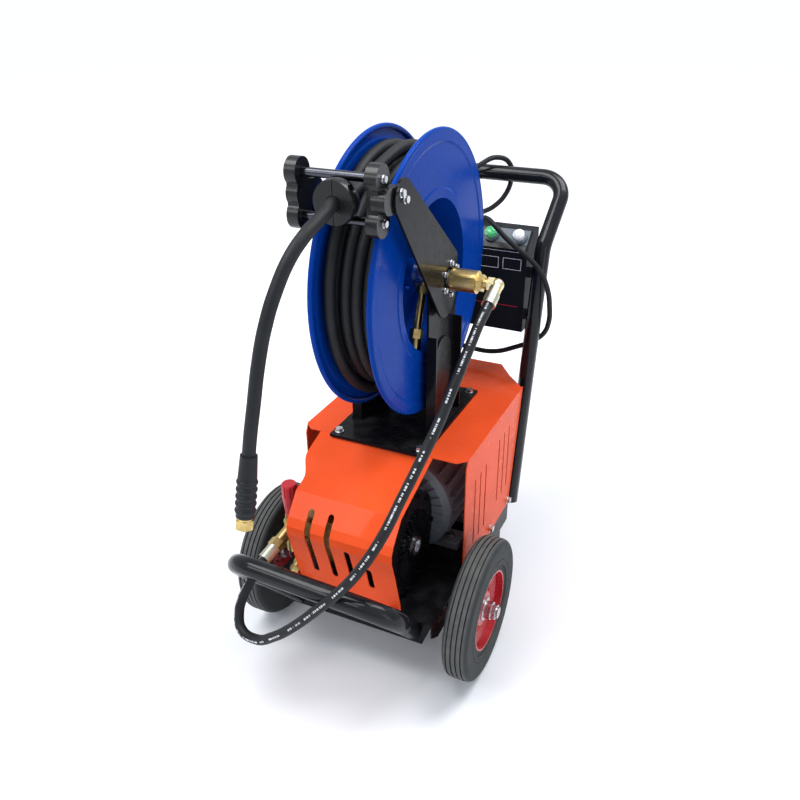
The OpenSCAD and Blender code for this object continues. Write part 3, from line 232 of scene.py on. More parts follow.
cable_points = route(
    (GLAND_X, GLAND_Y, 0.462), (GLAND_X, GLAND_Y, 0.457), (GLAND_X, GLAND_Y, 0.452),
    (-0.046, 0.432, 0.434), (-0.010, 0.425, 0.424), (0.025, 0.421, 0.421),
    (0.070, 0.420, 0.424), (0.112, 0.420, 0.441), (0.146, 0.418, 0.461),
    (0.172, 0.407, 0.486), (0.184, 0.396, 0.518), (0.185, 0.389, 0.550),
    (0.179, 0.386, 0.586), (0.163, 0.386, 0.618), (0.140, 0.387, 0.641),
    (0.113, 0.386, 0.660), (0.090, 0.386, 0.677), (0.068, 0.393, 0.693),
    (0.044, 0.410, 0.702), (0.020, 0.433, 0.694), (0.002, 0.458, 0.688),
    (0.002, 0.490, 0.689), (0.020, 0.522, 0.698), (0.036, 0.543, 0.720),
    (0.042, 0.553, 0.746), (0.038, 0.553, 0.777), (0.017, 0.528, 0.793),
    (-0.004, 0.502, 0.784), (-0.024, 0.481, 0.765),
)
coil_points = [coiled(i) for i in range(COIL_TURNS * COIL_RINGS + COIL_OVERRUN)]
into_coil = (coil_points[1] - coil_points[0]).normalized()
cable_points += [coil_points[0] - into_coil * d for d in COIL_LEAD_IN]
coil_end = coil_points[-1]
coil_points += [
    coil_end + Vector(step)
    for step in (
        (-0.002, 0.011, -0.012), (-0.003, 0.022, -0.026), (-0.004, 0.031, -0.042),
        (-0.004, 0.036, -0.060), (-0.004, 0.038, -0.080), (-0.004, 0.038, -0.095),
    )
]
cable_tip = coil_points[-1]
power_cable = hose_curve(
    "mains_cable", [cable_points + coil_points], CABLE_D / 2, CABLE_FINENESS
)
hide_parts("power_cable", "cable_coil")
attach(power_cable, "chassis")

# %% [markdown]
# ## The hose on the reel
# Most of the jet hose is wound on the drum. Only the outer layer shows: four turns side by side,
# a climb, and the start of the next layer. A stack of rings would look like it from afar, but a
# helix shows the climb. It turns with the reel, so it rides on that body. A layer beneath it
# fills the grooves between the turns.

# %% Wound hose
WIND_PITCH, WIND_RINGS, WIND_FINENESS = 0.0199, 24, 6
WIND_LOW, WIND_HIGH, WIND_UNDER = 0.184, 0.2034, 0.1655
UNDER_TURNS = 3
LOW_END = 4 * WIND_RINGS
CLIMB_RINGS = WIND_RINGS // 4
HIGH_START = LOW_END + CLIMB_RINGS
WIND_LAST = 5 * WIND_RINGS
WIND_END_AT = -96  # degrees round the reel
HIGH_STEP = 0.8  # pitches in a turn of the next layer


def wound(i):
    low_turns = min(i, LOW_END) / WIND_RINGS
    high_turns = max(i - HIGH_START, 0) / WIND_RINGS
    along = 2 - low_turns + HIGH_STEP * high_turns
    climb = min(max((i - LOW_END) / CLIMB_RINGS, 0), 1)
    radius = WIND_LOW + (WIND_HIGH - WIND_LOW) * climb
    degrees = 360 * (i - WIND_LAST) / WIND_RINGS + WIND_END_AT
    return round_reel(REEL_X + WIND_PITCH * along, radius, degrees)


def under(i):
    along = i / WIND_RINGS - UNDER_TURNS / 2
    return round_reel(REEL_X + WIND_PITCH * along, WIND_UNDER, 360 * i / WIND_RINGS)


under_layer = [under(i) for i in range(UNDER_TURNS * WIND_RINGS + 1)]
outer_layer = [wound(i) for i in range(WIND_LAST + 1)]
wound_hose = hose_curve("wound_hose", [under_layer, outer_layer], JET_D / 2, WIND_FINENESS)
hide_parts("hose_core", "hose_winding")
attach(wound_hose, "reel")

# %% [markdown]
# ## Bent tubes
# The handle and the bumper are steel tubes bent on a former. A bevelled curve would round the
# corners by eye, while a ring of vertices can do what the former does: it is pushed along each
# straight run with an extrude, and carried round each bend with the spin operator. A Solidify
# modifier then gives the tube its wall.

# %% Mesh helpers
WELD = 1e-6
SHARP = math.radians(35)


def mesh_piece(name, build):
    mesh = bpy.data.meshes.new(name)
    build.to_mesh(mesh)
    build.free()
    mesh.shade_smooth()
    mesh.set_sharp_from_angle(angle=SHARP)
    piece = bpy.data.objects.new(name, mesh)
    bpy.context.collection.objects.link(piece)
    print(name, "has", len(mesh.polygons), "faces")
    return piece


def edges_of(geometry):
    return [g for g in geometry if isinstance(g, bmesh.types.BMEdge)]


def verts_of(geometry):
    return [g for g in geometry if isinstance(g, bmesh.types.BMVert)]


def push(build, ring, vec):
    grown = bmesh.ops.extrude_edge_only(build, edges=ring)["geom"]
    bmesh.ops.translate(build, verts=verts_of(grown), vec=vec)
    return grown


def close_up(build):
    bmesh.ops.remove_doubles(build, verts=build.verts, dist=WELD)
    bmesh.ops.recalc_face_normals(build, faces=build.faces)
    return build


# %% Tube bender
TUBE_SIDES = 40
BEND_STEP, LEAST_STEPS = 0.09, 6


def bent_tube(corners, bend, radius):
    build = bmesh.new()
    way = (corners[1] - corners[0]).normalized()
    stand = Matrix.Translation(corners[0]) @ way.to_track_quat("Z", "Y").to_matrix().to_4x4()
    bmesh.ops.create_circle(
        build, cap_ends=False, segments=TUBE_SIDES, radius=radius, matrix=stand
    )
    ring, here = build.edges[:], corners[0]
    for before, corner, after in zip(corners, corners[1:], corners[2:]):
        way_in, way_out = (corner - before).normalized(), (after - corner).normalized()
        turn = way_in.angle(way_out)
        reach = bend * math.tan(turn / 2)
        axis = way_in.cross(way_out).normalized()
        start = corner - way_in * reach
        grown = push(build, ring, start - here)
        swept = bmesh.ops.spin(
            build, geom=verts_of(grown) + edges_of(grown),
            cent=start + axis.cross(way_in) * bend, axis=axis,
            angle=turn, steps=max(LEAST_STEPS, round(turn / BEND_STEP)),
        )["geom_last"]
        ring, here = edges_of(swept), corner + way_out * reach
    push(build, ring, corners[-1] - here)
    return close_up(build)


def add_wall(piece, thickness):
    wall = piece.modifiers.new("wall", "SOLIDIFY")
    wall.thickness = thickness
    wall.offset = -1


# %% [markdown]
# ### The handle
# One tube makes both uprights and the grip bar: it leans back, kinks at the height of the control
# box and turns over at the grip. Only its corners are given, and the former's radius, which is
# three tube radii, rounds them.

# %% Handle
TUBE_R, TUBE_WALL, FORMER = 0.015, 0.002, 3

handle_corners = route(
    (-0.153, 0.32097, 0.137), (-0.153, 0.42636, 0.655), (-0.163, 0.52936, 0.763),
    (0.163, 0.52936, 0.763), (0.153, 0.42636, 0.655), (0.153, 0.32097, 0.137),
)
handle = mesh_piece("handle_tube", bent_tube(handle_corners, FORMER * TUBE_R, TUBE_R))
add_wall(handle, TUBE_WALL)
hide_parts("handle")
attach(handle, "chassis")

# %% [markdown]
# ### The bumper
# The bumper's tube is welded to the front of the tray. It is made a little too long, and a plane
# then cuts it off flush, as a saw would.

# %% Bumper
BUMPER_R, BUMPER_OVERRUN = 0.017, 0.2
TRAY_FRONT = -0.102
SAW_CUT = 1e-7

bumper_corners = route(
    (-0.118, TRAY_FRONT, 0.131), (-0.212, -0.204, 0.259),
    (0.132, -0.204, 0.246), (0.118, TRAY_FRONT, 0.131),
)
bumper_corners[0] += (bumper_corners[0] - bumper_corners[1]) * BUMPER_OVERRUN
bumper_corners[3] += (bumper_corners[3] - bumper_corners[2]) * BUMPER_OVERRUN
build = bent_tube(bumper_corners, FORMER * BUMPER_R, BUMPER_R)
bmesh.ops.bisect_plane(
    build, geom=build.verts[:] + build.edges[:] + build.faces[:], dist=SAW_CUT,
    plane_co=from_axle(0, TRAY_FRONT, 0), plane_no=(0, 1, 0), clear_outer=True,
)
bumper = mesh_piece("bumper_tube", build)
add_wall(bumper, TUBE_WALL)
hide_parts("bumper")
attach(bumper, "chassis")

# %% [markdown]
# ## Turned pieces: the cable gland
# Round moulded pieces could be stacked from cylinders, but one half outline spun about an axis
# leaves no seams. The gland ends in a ribbed sleeve that gets thinner, so that the cable bends
# over a length and not at one point.

# %% Gland
SPIN_STEPS = 40
BOX_UNDER, GLAND_LONG = 0.485, 0.033
SLEEVE_RIBS, SLEEVE_STEP, SLEEVE_FIRST = 5, 0.0042, 0.002
SLEEVE_R, SLEEVE_GROWS, SLEEVE_RIB = 0.0056, 0.0005, 0.0011


def turned(outline):
    build = bmesh.new()
    spots = [build.verts.new((r, 0, h)) for r, h in outline]
    rims = [build.edges.new(pair) for pair in zip(spots, spots[1:])]
    bmesh.ops.spin(
        build, geom=spots + rims, cent=(0, 0, 0), axis=(0, 0, 1),
        angle=math.tau, steps=SPIN_STEPS, use_merge=True,
    )
    return close_up(build)


sleeve = [(0, 0), (0.0052, 0)]
for rib in range(SLEEVE_RIBS):
    low = SLEEVE_FIRST + rib * SLEEVE_STEP
    thin = SLEEVE_R + rib * SLEEVE_GROWS
    thick = thin + SLEEVE_RIB
    sleeve += [(thin, low), (thick, low + 0.0008), (thick, low + 0.0026), (thin, low + 0.0034)]
sleeve += [(0.0082, 0.0225), (0.0098, 0.023), (0.0098, 0.0275)]
sleeve += [(0.0108, 0.0285), (0.0108, GLAND_LONG), (0, GLAND_LONG)]
build = turned(sleeve)
gland_foot = from_axle(GLAND_X, GLAND_Y, BOX_UNDER - GLAND_LONG)
bmesh.ops.translate(build, verts=build.verts, vec=gland_foot)
gland = mesh_piece("gland_sleeve", build)
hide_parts("gland")
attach(gland, "chassis")

# %% [markdown]
# ### The plug
# The plug hangs from the end of the coil. It is spun like the gland, with a neck, grip ribs and a
# collar, and three round pins are set into its face.

# %% Plug
PLUG_R, PLUG_GROOVE_R = 0.0195, 0.0182
PLUG_RIBS, PLUG_RIB_TOP, PLUG_RIB_STEP = 5, -0.034, 0.006
PIN_COUNT, PIN_RING, PIN_MIDDLE = 3, 0.0095, -0.0858
PIN_R, PIN_LONG, PIN_SIDES = 0.0024, 0.0036, 16

plug_outline = [(0, 0), (0.0062, 0), (0.0078, -0.004), (0.0088, -0.022)]
plug_outline += [(0.015, -0.026), (PLUG_R, -0.031)]
for rib in range(PLUG_RIBS):
    top = PLUG_RIB_TOP - rib * PLUG_RIB_STEP
    plug_outline += [(PLUG_R, top), (PLUG_GROOVE_R, top - 0.001)]
    plug_outline += [(PLUG_GROOVE_R, top - 0.003), (PLUG_R, top - 0.004)]
plug_outline += [(PLUG_R, -0.066), (0.0225, -0.068), (0.0228, -0.083)]
plug_outline += [(0.0215, -0.0845), (0, -0.0845)]
build = turned(plug_outline)
for k in range(PIN_COUNT):
    pin = math.tau * k / PIN_COUNT + math.pi / 2
    spot = (PIN_RING * math.cos(pin), PIN_RING * math.sin(pin), PIN_MIDDLE)
    bmesh.ops.create_cone(
        build, cap_ends=True, segments=PIN_SIDES, radius1=PIN_R, radius2=PIN_R, depth=PIN_LONG,
        matrix=Matrix.Translation(spot),
    )
bmesh.ops.translate(build, verts=build.verts, vec=cable_tip)
plug = mesh_piece("mains_plug", build)
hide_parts("plug")
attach(plug, "chassis")

# %% [markdown]
# ## Printed lines and a painted highlight on the control box
# The front of the box is screen printed. Two empty outlined fields under the buttons and one red
# rule keep that look, without any words or signs. A fine pale line just under the top edge is a
# painted highlight, standing in for the light that the bend of that edge catches. They could be
# drawn in the material, but as plates they stay sharp at any distance. Each starts as a flat
# plate, lifted by a fraction of a millimetre like a thick coat of ink, and a field is inset and
# opened. A plate has only outer edges, so the inset is told to take those too.

# %% Printed lines and a painted highlight
BOX_FRONT, PLATE_LIFT = 0.400, 0.0004
FIELD_XS, FIELD_Z, FIELD_W, FIELD_H, FIELD_LINE = (0.056, 0.1015), 0.622, 0.037, 0.0225, 0.0010
# A fine pale line just under the top edge of the box front: a painted highlight of that bend.
HIGHLIGHT_X, HIGHLIGHT_Z, HIGHLIGHT_W, HIGHLIGHT_H = 0.0, 0.6462, 0.250, 0.0008
RULE_X, RULE_Z, RULE_W, RULE_H = 0.009, 0.537, 0.218, 0.0014


def front_plate(build, x, z, width, height):
    face_front = Matrix.Rotation(math.pi / 2, 4, "X")
    size = Matrix.Diagonal((width / 2, height / 2, 1, 1))
    place = Matrix.Translation(from_axle(x, BOX_FRONT - PLATE_LIFT, z)) @ face_front @ size
    grid = bmesh.ops.create_grid(build, x_segments=1, y_segments=1, size=1, matrix=place)
    return list({face for corner in grid["verts"] for face in corner.link_faces})


fields = bmesh.new()
for x in FIELD_XS:
    plate = front_plate(fields, x, FIELD_Z, FIELD_W, FIELD_H)
    bmesh.ops.inset_region(
        fields, faces=plate, thickness=FIELD_LINE, use_boundary=True, use_even_offset=True
    )
    bmesh.ops.delete(fields, geom=plate, context="FACES")
# The painted highlight along the top edge shares this piece and the white of the print.
front_plate(fields, HIGHLIGHT_X, HIGHLIGHT_Z, HIGHLIGHT_W, HIGHLIGHT_H)
outlines_and_highlight = mesh_piece("field_outlines_and_edge_highlight", fields)
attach(outlines_and_highlight, "chassis")

red_line = bmesh.new()
front_plate(red_line, RULE_X, RULE_Z, RULE_W, RULE_H)
rule = mesh_piece("red_rule", red_line)
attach(rule, "chassis")

# %% [markdown]
# ## Shared surface effects
# A real surface is never one flat colour. Each node group below describes one such effect in
# object space and puts out only a colour, a roughness and a height, so that any finish can use
# it and keep its own shader. Clicking nodes together works for one material; for twenty, a few
# small helpers that add a node and link its sockets are quicker to read and to change.

# %% Node helpers
def add(tree, kind, feeds=None, **settings):
    node = tree.nodes.new(kind)
    for key, value in settings.items():
        setattr(node, key, value)
    for key, value in (feeds or {}).items():
        if isinstance(value, bpy.types.NodeSocket):
            tree.links.new(value, node.inputs[key])
        else:
            node.inputs[key].default_value = value
    return node


def calc(tree, operation, first, second=0.0, clamp=False):
    feeds = {0: first, 1: second}
    return add(tree, "ShaderNodeMath", feeds, operation=operation, use_clamp=clamp).outputs[0]


def blend(tree, amount, first, second, way="MIX"):
    feeds = {0: amount, 6: first, 7: second}
    return add(tree, "ShaderNodeMix", feeds, data_type="RGBA", blend_type=way).outputs[2]


def noise(tree, where, scale, detail):
    feeds = {"Vector": where, "Scale": scale, "Detail": detail}
    return add(tree, "ShaderNodeTexNoise", feeds).outputs[0]


def ramp(tree, value, low, high, out_low=0.0, out_high=1.0):
    feeds = {"Value": value, "From Min": low, "From Max": high}
    feeds.update({"To Min": out_low, "To Max": out_high})
    return add(tree, "ShaderNodeMapRange", feeds).outputs[0]


# %% Group helpers
def socket_kind(is_colour):
    return "NodeSocketColor" if is_colour else "NodeSocketFloat"


def new_group(name, takes, puts=("Colour", "Roughness", "Height")):
    tree = bpy.data.node_groups.new(name, "ShaderNodeTree")
    for label, value in takes.items():
        kind = socket_kind(isinstance(value, tuple))
        socket = tree.interface.new_socket(label, in_out="INPUT", socket_type=kind)
        socket.default_value = value
    for label in puts:
        kind = socket_kind(label == "Colour")
        tree.interface.new_socket(label, in_out="OUTPUT", socket_type=kind)
    return tree, add(tree, "NodeGroupInput").outputs, add(tree, "NodeGroupOutput").inputs


def give(tree, outputs, **results):
    for label, socket in results.items():
        tree.links.new(socket, outputs[label.capitalize()])
    print("group", tree.name, "has", len(tree.nodes), "nodes and puts out", list(results))


# %% [markdown]
# ### Paint film
# Sprayed paint has a faint orange-peel, cloudy patches a few centimetres wide, and dust that
# settles on what faces up. The dust dulls the gloss as well as the colour. Noises of different
# sizes make these, and a larger scale gives smaller patches. A noise keeps mostly to the middle
# of its range, so each ramp stretches that middle.

# %% Paint film
MIDDLE = (0.3, 0.7)
CLOUDS, DUST_SPECKS, GLOSS_PATCHES = 9.0, 38.0, 60.0
DUST_DULLS = 0.6

paint_film, takes, puts = new_group(
    "paint_film",
    {
        "Colour": (0.5, 0.5, 0.5, 1), "Dust colour": (0.42, 0.40, 0.37, 1),
        "Dust": 0.1, "Roughness": 0.2, "Peel": 420.0,
    },
)
where = add(paint_film, "ShaderNodeTexCoord").outputs
cloud = noise(paint_film, where["Object"], CLOUDS, 3.0)
tone = ramp(paint_film, cloud, *MIDDLE, 0.90, 1.06)
tinted = blend(paint_film, 1.0, takes["Colour"], tone, "MULTIPLY")
upward = add(paint_film, "ShaderNodeSeparateXYZ", {0: where["Normal"]}).outputs["Z"]
specks = ramp(paint_film, noise(paint_film, where["Object"], DUST_SPECKS, 6.0), 0.42, 0.72)
lying = calc(paint_film, "MULTIPLY", ramp(paint_film, upward, 0.2, 1.0), specks)
dust = calc(paint_film, "MULTIPLY", lying, takes["Dust"], True)
dulled = calc(paint_film, "ADD", takes["Roughness"], calc(paint_film, "MULTIPLY", dust, DUST_DULLS))
patches = noise(paint_film, where["Object"], GLOSS_PATCHES, 4.0)
give(
    paint_film, puts,
    colour=blend(paint_film, dust, tinted, takes["Dust colour"]),
    roughness=calc(paint_film, "ADD", dulled, ramp(paint_film, patches, *MIDDLE, -0.03, 0.05)),
    height=noise(paint_film, where["Object"], takes["Peel"], 1.0),
)

# %% [markdown]
# ### Moulded rubber
# Rubber is matt and never quite black: it greys in patches, holds pale dust and has a fine,
# pebbled skin from the mould or from the cloth that it was cured in. One noise greys it, and a
# much finer one serves both as the skin's height and as its uneven gloss.

# %% Rubber skin
BLOOM_PATCHES = 26.0

rubber_skin, takes, puts = new_group(
    "rubber_skin",
    {
        "Colour": (0.03, 0.03, 0.03, 1), "Bloom colour": (0.12, 0.12, 0.12, 1),
        "Bloom": 0.5, "Roughness": 0.6, "Grain": 700.0,
    },
)
where = add(rubber_skin, "ShaderNodeTexCoord").outputs
greyed = ramp(rubber_skin, noise(rubber_skin, where["Object"], BLOOM_PATCHES, 7.0), 0.36, 0.78)
bloom = calc(rubber_skin, "MULTIPLY", greyed, takes["Bloom"], True)
grain = noise(rubber_skin, where["Object"], takes["Grain"], 2.0)
uneven = ramp(rubber_skin, grain, *MIDDLE, -0.06, 0.10)
give(
    rubber_skin, puts,
    colour=blend(rubber_skin, bloom, takes["Colour"], takes["Bloom colour"]),
    roughness=calc(rubber_skin, "ADD", takes["Roughness"], uneven),
    height=grain,
)

# %% [markdown]
# ### Worked metal
# Turned brass and zinc-plated steel show fine tool marks and a cloudy tarnish that is darker and
# rougher than the bright metal. One mask for the tarnish steers both, so they always agree.

# %% Worked metal
TARNISH_SPOTS, TARNISH_DULLS = 90.0, 0.3

worked_metal, takes, puts = new_group(
    "worked_metal",
    {
        "Colour": (0.6, 0.6, 0.6, 1), "Tarnish colour": (0.3, 0.3, 0.3, 1),
        "Tarnish": 0.4, "Roughness": 0.25, "Marks": 900.0,
    },
)
where = add(worked_metal, "ShaderNodeTexCoord").outputs
spots = ramp(worked_metal, noise(worked_metal, where["Object"], TARNISH_SPOTS, 6.0), 0.42, 0.75)
tarnish = calc(worked_metal, "MULTIPLY", spots, takes["Tarnish"], True)
dulled = calc(worked_metal, "MULTIPLY", tarnish, TARNISH_DULLS)
give(
    worked_metal, puts,
    colour=blend(worked_metal, tarnish, takes["Colour"], takes["Tarnish colour"]),
    roughness=calc(worked_metal, "ADD", takes["Roughness"], dulled),
    height=noise(worked_metal, where["Object"], takes["Marks"], 3.0),
)

# %% [markdown]
# ## The finishes
# Each finish is one material: a Principled shader with its own fixed values, fed by one of the
# groups. What is the same all over, such as the coat, is set on the shader itself, and the group
# brings only what changes over the surface. Colours are written as they look on a screen, from 0
# to 255, and `tint` turns them into the linear light that shaders count in.

# %% Colours
def linear(channel):
    share = channel / 255
    return share / 12.92 if channel <= 10 else ((share + 0.055) / 1.055) ** 2.4


def tint(red, green, blue):
    return (linear(red), linear(green), linear(blue), 1)


print("a screen grey of 128 is", round(linear(128), 3), "in linear light")

# %% Finish helper
COAT_ROUGHNESS = 0.06
RELIEF_DEPTH = 0.0004
finishes = {}


def finish(name, group, bump, metallic=0.0, coat=0.0, specular=0.5, **values):
    material = bpy.data.materials.new(name)
    material.use_nodes = True
    tree = material.node_tree
    shader = tree.nodes["Principled BSDF"]
    shader.inputs["Metallic"].default_value = metallic
    shader.inputs["Coat Weight"].default_value = coat
    shader.inputs["Coat Roughness"].default_value = COAT_ROUGHNESS
    shader.inputs["Specular IOR Level"].default_value = specular
    effect = add(tree, "ShaderNodeGroup", node_tree=group)
    for label, value in values.items():
        effect.inputs[label.replace("_", " ").capitalize()].default_value = value
    tree.links.new(effect.outputs["Colour"], shader.inputs["Base Color"])
    tree.links.new(effect.outputs["Roughness"], shader.inputs["Roughness"])
    height = {"Height": effect.outputs["Height"], "Strength": bump, "Distance": RELIEF_DEPTH}
    relief = add(tree, "ShaderNodeBump", height)
    tree.links.new(relief.outputs["Normal"], shader.inputs["Normal"])
    finishes[name] = material
    print("finish", name, "from", group.name)


# %% [markdown]
# ### Paints
# The trolley's black, the cover's orange and the reel's blue are sprayed in one thin coat, so
# they shine only a little. The bent tubes and the red rims have a glossier enamel, the control box
# a duller lacquer, and the motor's grey paint lies on a rough casting.

# %% Paints
finish(
    "black_paint", paint_film, bump=0.04, specular=0.05, coat=0.08,
    colour=tint(20, 20, 23), roughness=0.24, dust=0.03,
)
finish(
    "tube_enamel", paint_film, bump=0.03, specular=0.10, coat=0.30,
    colour=tint(22, 24, 28), roughness=0.22, dust=0.03,
)
finish(
    "box_lacquer", paint_film, bump=0.03, specular=0.01, coat=0.03,
    colour=tint(30, 33, 38), roughness=0.34, dust=0.03,
)
finish(
    "orange_paint", paint_film, bump=0.025, specular=0.02, coat=0.14,
    colour=tint(246, 88, 42), roughness=0.24, dust=0.02,
)
finish(
    "blue_paint", paint_film, bump=0.05, specular=0.03, coat=0.04,
    colour=tint(6, 62, 156), roughness=0.24, dust=0.02,
)
finish(
    "red_paint", paint_film, bump=0.06, coat=0.3,
    colour=tint(186, 28, 40), roughness=0.28, dust=0.12,
)
finish(
    "grey_cast", paint_film, bump=0.30,
    colour=tint(128, 136, 142), roughness=0.42, dust=0.15, peel=260.0,
)

# %% [markdown]
# ### Rubbers and plastics
# Tyres are the mattest, hoses a little smoother, and moulded plastic the smoothest. The buttons
# get a clear coat, as moulded caps are polished.

# %% Rubbers and plastics
finish(
    "tyre_rubber", rubber_skin, bump=0.22, specular=0.3, colour=tint(46, 49, 50),
    bloom_colour=tint(74, 75, 74), bloom=0.45, roughness=0.72,
)
finish(
    "hose_rubber", rubber_skin, bump=0.14, specular=0.24, colour=tint(24, 26, 28),
    bloom_colour=tint(50, 53, 56), bloom=0.4, roughness=0.50,
)
finish(
    "black_plastic", rubber_skin, bump=0.08, specular=0.30, coat=0.15, colour=tint(13, 14, 16),
    bloom_colour=tint(34, 36, 39), bloom=0.2, roughness=0.30,
)
finish(
    "grey_panel", rubber_skin, bump=0.10, colour=tint(88, 99, 107),
    bloom_colour=tint(112, 122, 128), bloom=0.3, roughness=0.42,
)
finish(
    "red_plastic", rubber_skin, bump=0.06, colour=tint(196, 28, 40),
    bloom_colour=tint(206, 70, 72), bloom=0.2, roughness=0.34,
)
finish(
    "green_plastic", rubber_skin, bump=0.04, coat=0.5, colour=tint(92, 214, 136),
    bloom_colour=tint(140, 228, 170), bloom=0.2, roughness=0.24,
)
finish(
    "white_plastic", rubber_skin, bump=0.04, coat=0.5, colour=tint(236, 238, 238),
    bloom_colour=tint(212, 212, 208), bloom=0.2, roughness=0.24,
)

# %% [markdown]
# ### Metals
# A metal's colour is the colour of its reflection, so Metallic is 1 and the tint is pale. Zinc
# comes in three shades: plain on the bolts, yellow on the elbow, and pale on the ferrules.

# %% Metals
finish(
    "zinc_steel", worked_metal, bump=0.06, metallic=1.0, colour=tint(210, 212, 216),
    tarnish_colour=tint(130, 130, 132), tarnish=0.35, roughness=0.24,
)
finish(
    "yellow_zinc", worked_metal, bump=0.06, metallic=1.0, colour=tint(236, 222, 176),
    tarnish_colour=tint(178, 156, 104), tarnish=0.5, roughness=0.26,
)
finish(
    "pale_zinc", worked_metal, bump=0.06, metallic=1.0, colour=tint(206, 205, 186),
    tarnish_colour=tint(140, 138, 112), tarnish=0.5, roughness=0.28,
)
finish(
    "dark_chrome", worked_metal, bump=0.03, metallic=1.0, colour=tint(70, 72, 78),
    tarnish_colour=tint(48, 49, 53), tarnish=0.3, roughness=0.18,
)
finish(
    "brass", worked_metal, bump=0.06, metallic=1.0, colour=tint(202, 178, 118),
    tarnish_colour=tint(132, 106, 58), tarnish=0.5, roughness=0.28,
)
finish(
    "cast_brass", worked_metal, bump=0.20, metallic=1.0, colour=tint(150, 130, 84),
    tarnish_colour=tint(82, 68, 42), tarnish=0.7, roughness=0.42, marks=500.0,
)

# %% [markdown]
# ### Marks along the connecting hose
# Hydraulic hose carries a printed line along its length. A curve's own UV map runs along it and
# around it, so a narrow band around, cut into short dashes along, gives that line without an
# image. The dashes come in groups of uneven length and spell nothing.

# %% Printed dashes
BEAT_NOISE, BEAT_SHIFT, DASH_SHARE = 190.0, 1.5, 0.6
GROUP_NOISE, GROUP_LOW = 55.0, 0.44
BAND_HALF = 0.029


def noise_along(tree, along, scale):
    feeds = {"W": along, "Scale": scale, "Detail": 0.0}
    return add(tree, "ShaderNodeTexNoise", feeds, noise_dimensions="1D").outputs[0]


marks, takes, puts = new_group("printed_dashes", {"Dashes": 280.0, "Side": 0.16}, ("Ink",))
hose_uv = add(marks, "ShaderNodeTexCoord").outputs["UV"]
along, around, _ = add(marks, "ShaderNodeSeparateXYZ", {0: hose_uv}).outputs
steady = calc(marks, "MULTIPLY", along, takes["Dashes"])
shift = calc(marks, "MULTIPLY", noise_along(marks, along, BEAT_NOISE), BEAT_SHIFT)
beat = calc(marks, "FRACT", calc(marks, "ADD", steady, shift))
dash = calc(marks, "LESS_THAN", beat, DASH_SHARE)
grouped = calc(marks, "GREATER_THAN", noise_along(marks, along, GROUP_NOISE), GROUP_LOW)
off_side = calc(marks, "ABSOLUTE", calc(marks, "SUBTRACT", around, takes["Side"]))
band = calc(marks, "LESS_THAN", off_side, BAND_HALF)
give(marks, puts, ink=calc(marks, "MULTIPLY", calc(marks, "MULTIPLY", dash, grouped), band))

# %% Marked hose
def copy_finish(name, copy_name):
    finishes[copy_name] = finishes[name].copy()
    finishes[copy_name].name = copy_name
    return finishes[copy_name]


def paint_over(material, mask, colour):
    tree = material.node_tree
    base = tree.nodes["Principled BSDF"].inputs["Base Color"]
    tree.links.new(blend(tree, mask, base.links[0].from_socket, colour), base)
    print(material.name, "is painted over, with", len(tree.nodes), "nodes")


marked_hose = copy_finish("hose_rubber", "marked_hose")
dashes = add(marked_hose.node_tree, "ShaderNodeGroup", node_tree=marks)
paint_over(marked_hose, dashes.outputs["Ink"], tint(214, 216, 218))

# %% [markdown]
# ### The worn tread
# A tyre's side stays dark, while its tread is scuffed grey and dusty. The surface direction tells
# them apart: across the axle on the side, away from the axle on the tread. So one material does
# for both, and no face has to be picked by hand.

# %% Worn tread
SIDE_FACING, TREAD_FACING = 0.75, 0.30
SCUFFS = 55.0

tyre_tree = finishes["tyre_rubber"].node_tree
tyre_where = add(tyre_tree, "ShaderNodeTexCoord").outputs
facing = add(tyre_tree, "ShaderNodeSeparateXYZ", {0: tyre_where["Normal"]}).outputs["X"]
across = calc(tyre_tree, "ABSOLUTE", facing)
tread = ramp(tyre_tree, across, SIDE_FACING, TREAD_FACING)
scuffs = ramp(tyre_tree, noise(tyre_tree, tyre_where["Object"], SCUFFS, 5.0), 0.25, 0.65, 0.55, 1.0)
paint_over(finishes["tyre_rubber"], calc(tyre_tree, "MULTIPLY", tread, scuffs), tint(92, 93, 91))

# %% [markdown]
# ### The banded panel
# The sloping panel that holds the buttons is grey above and black along its lower edge. Object
# coordinates are metres in the frame, so one height divides the two colours.

# %% Banded panel
BAND_TOP = 0.6597

banded_panel = copy_finish("grey_panel", "banded_panel")
panel_tree = banded_panel.node_tree
panel_where = add(panel_tree, "ShaderNodeTexCoord").outputs["Object"]
panel_height = add(panel_tree, "ShaderNodeSeparateXYZ", {0: panel_where}).outputs["Z"]
below = calc(panel_tree, "LESS_THAN", panel_height, BAND_TOP)
paint_over(banded_panel, below, tint(26, 27, 30))

# %% [markdown]
# ## Painting the pieces
# The record says which finish each piece of the frame takes. A few pieces differ from the others
# of their kind, such as the chromed rollers, and are named here. A mesh shows the first material
# in its list, so each list is emptied and filled again.

# %% Painting the pieces
special = {
    "pump_head": "cast_brass", "control_box": "box_lacquer", "control_panel": "banded_panel",
    "roller_top": "dark_chrome", "roller_bottom": "dark_chrome",
    "swivel_elbow": "yellow_zinc", "link_ferrules": "pale_zinc",
}
for part in frame["record"]["subparts"]:
    piece = nodes[part["node"]]
    piece.data.materials.clear()
    piece.data.materials.append(finishes[special.get(part["node"], part["material_slot"])])
for piece, name in (
    (jet_hose, "hose_rubber"), (link_hose, "marked_hose"), (power_cable, "hose_rubber"),
    (wound_hose, "hose_rubber"), (handle, "tube_enamel"), (bumper, "tube_enamel"),
    (gland, "black_plastic"), (plug, "black_plastic"),
    # This piece holds the printed fields and the painted highlight of the box's top edge.
    (outlines_and_highlight, "white_plastic"), (rule, "red_plastic"),
):
    piece.data.materials.append(finishes[name])
print("finished", len(nodes), "pieces of the frame with", len(finishes), "materials")

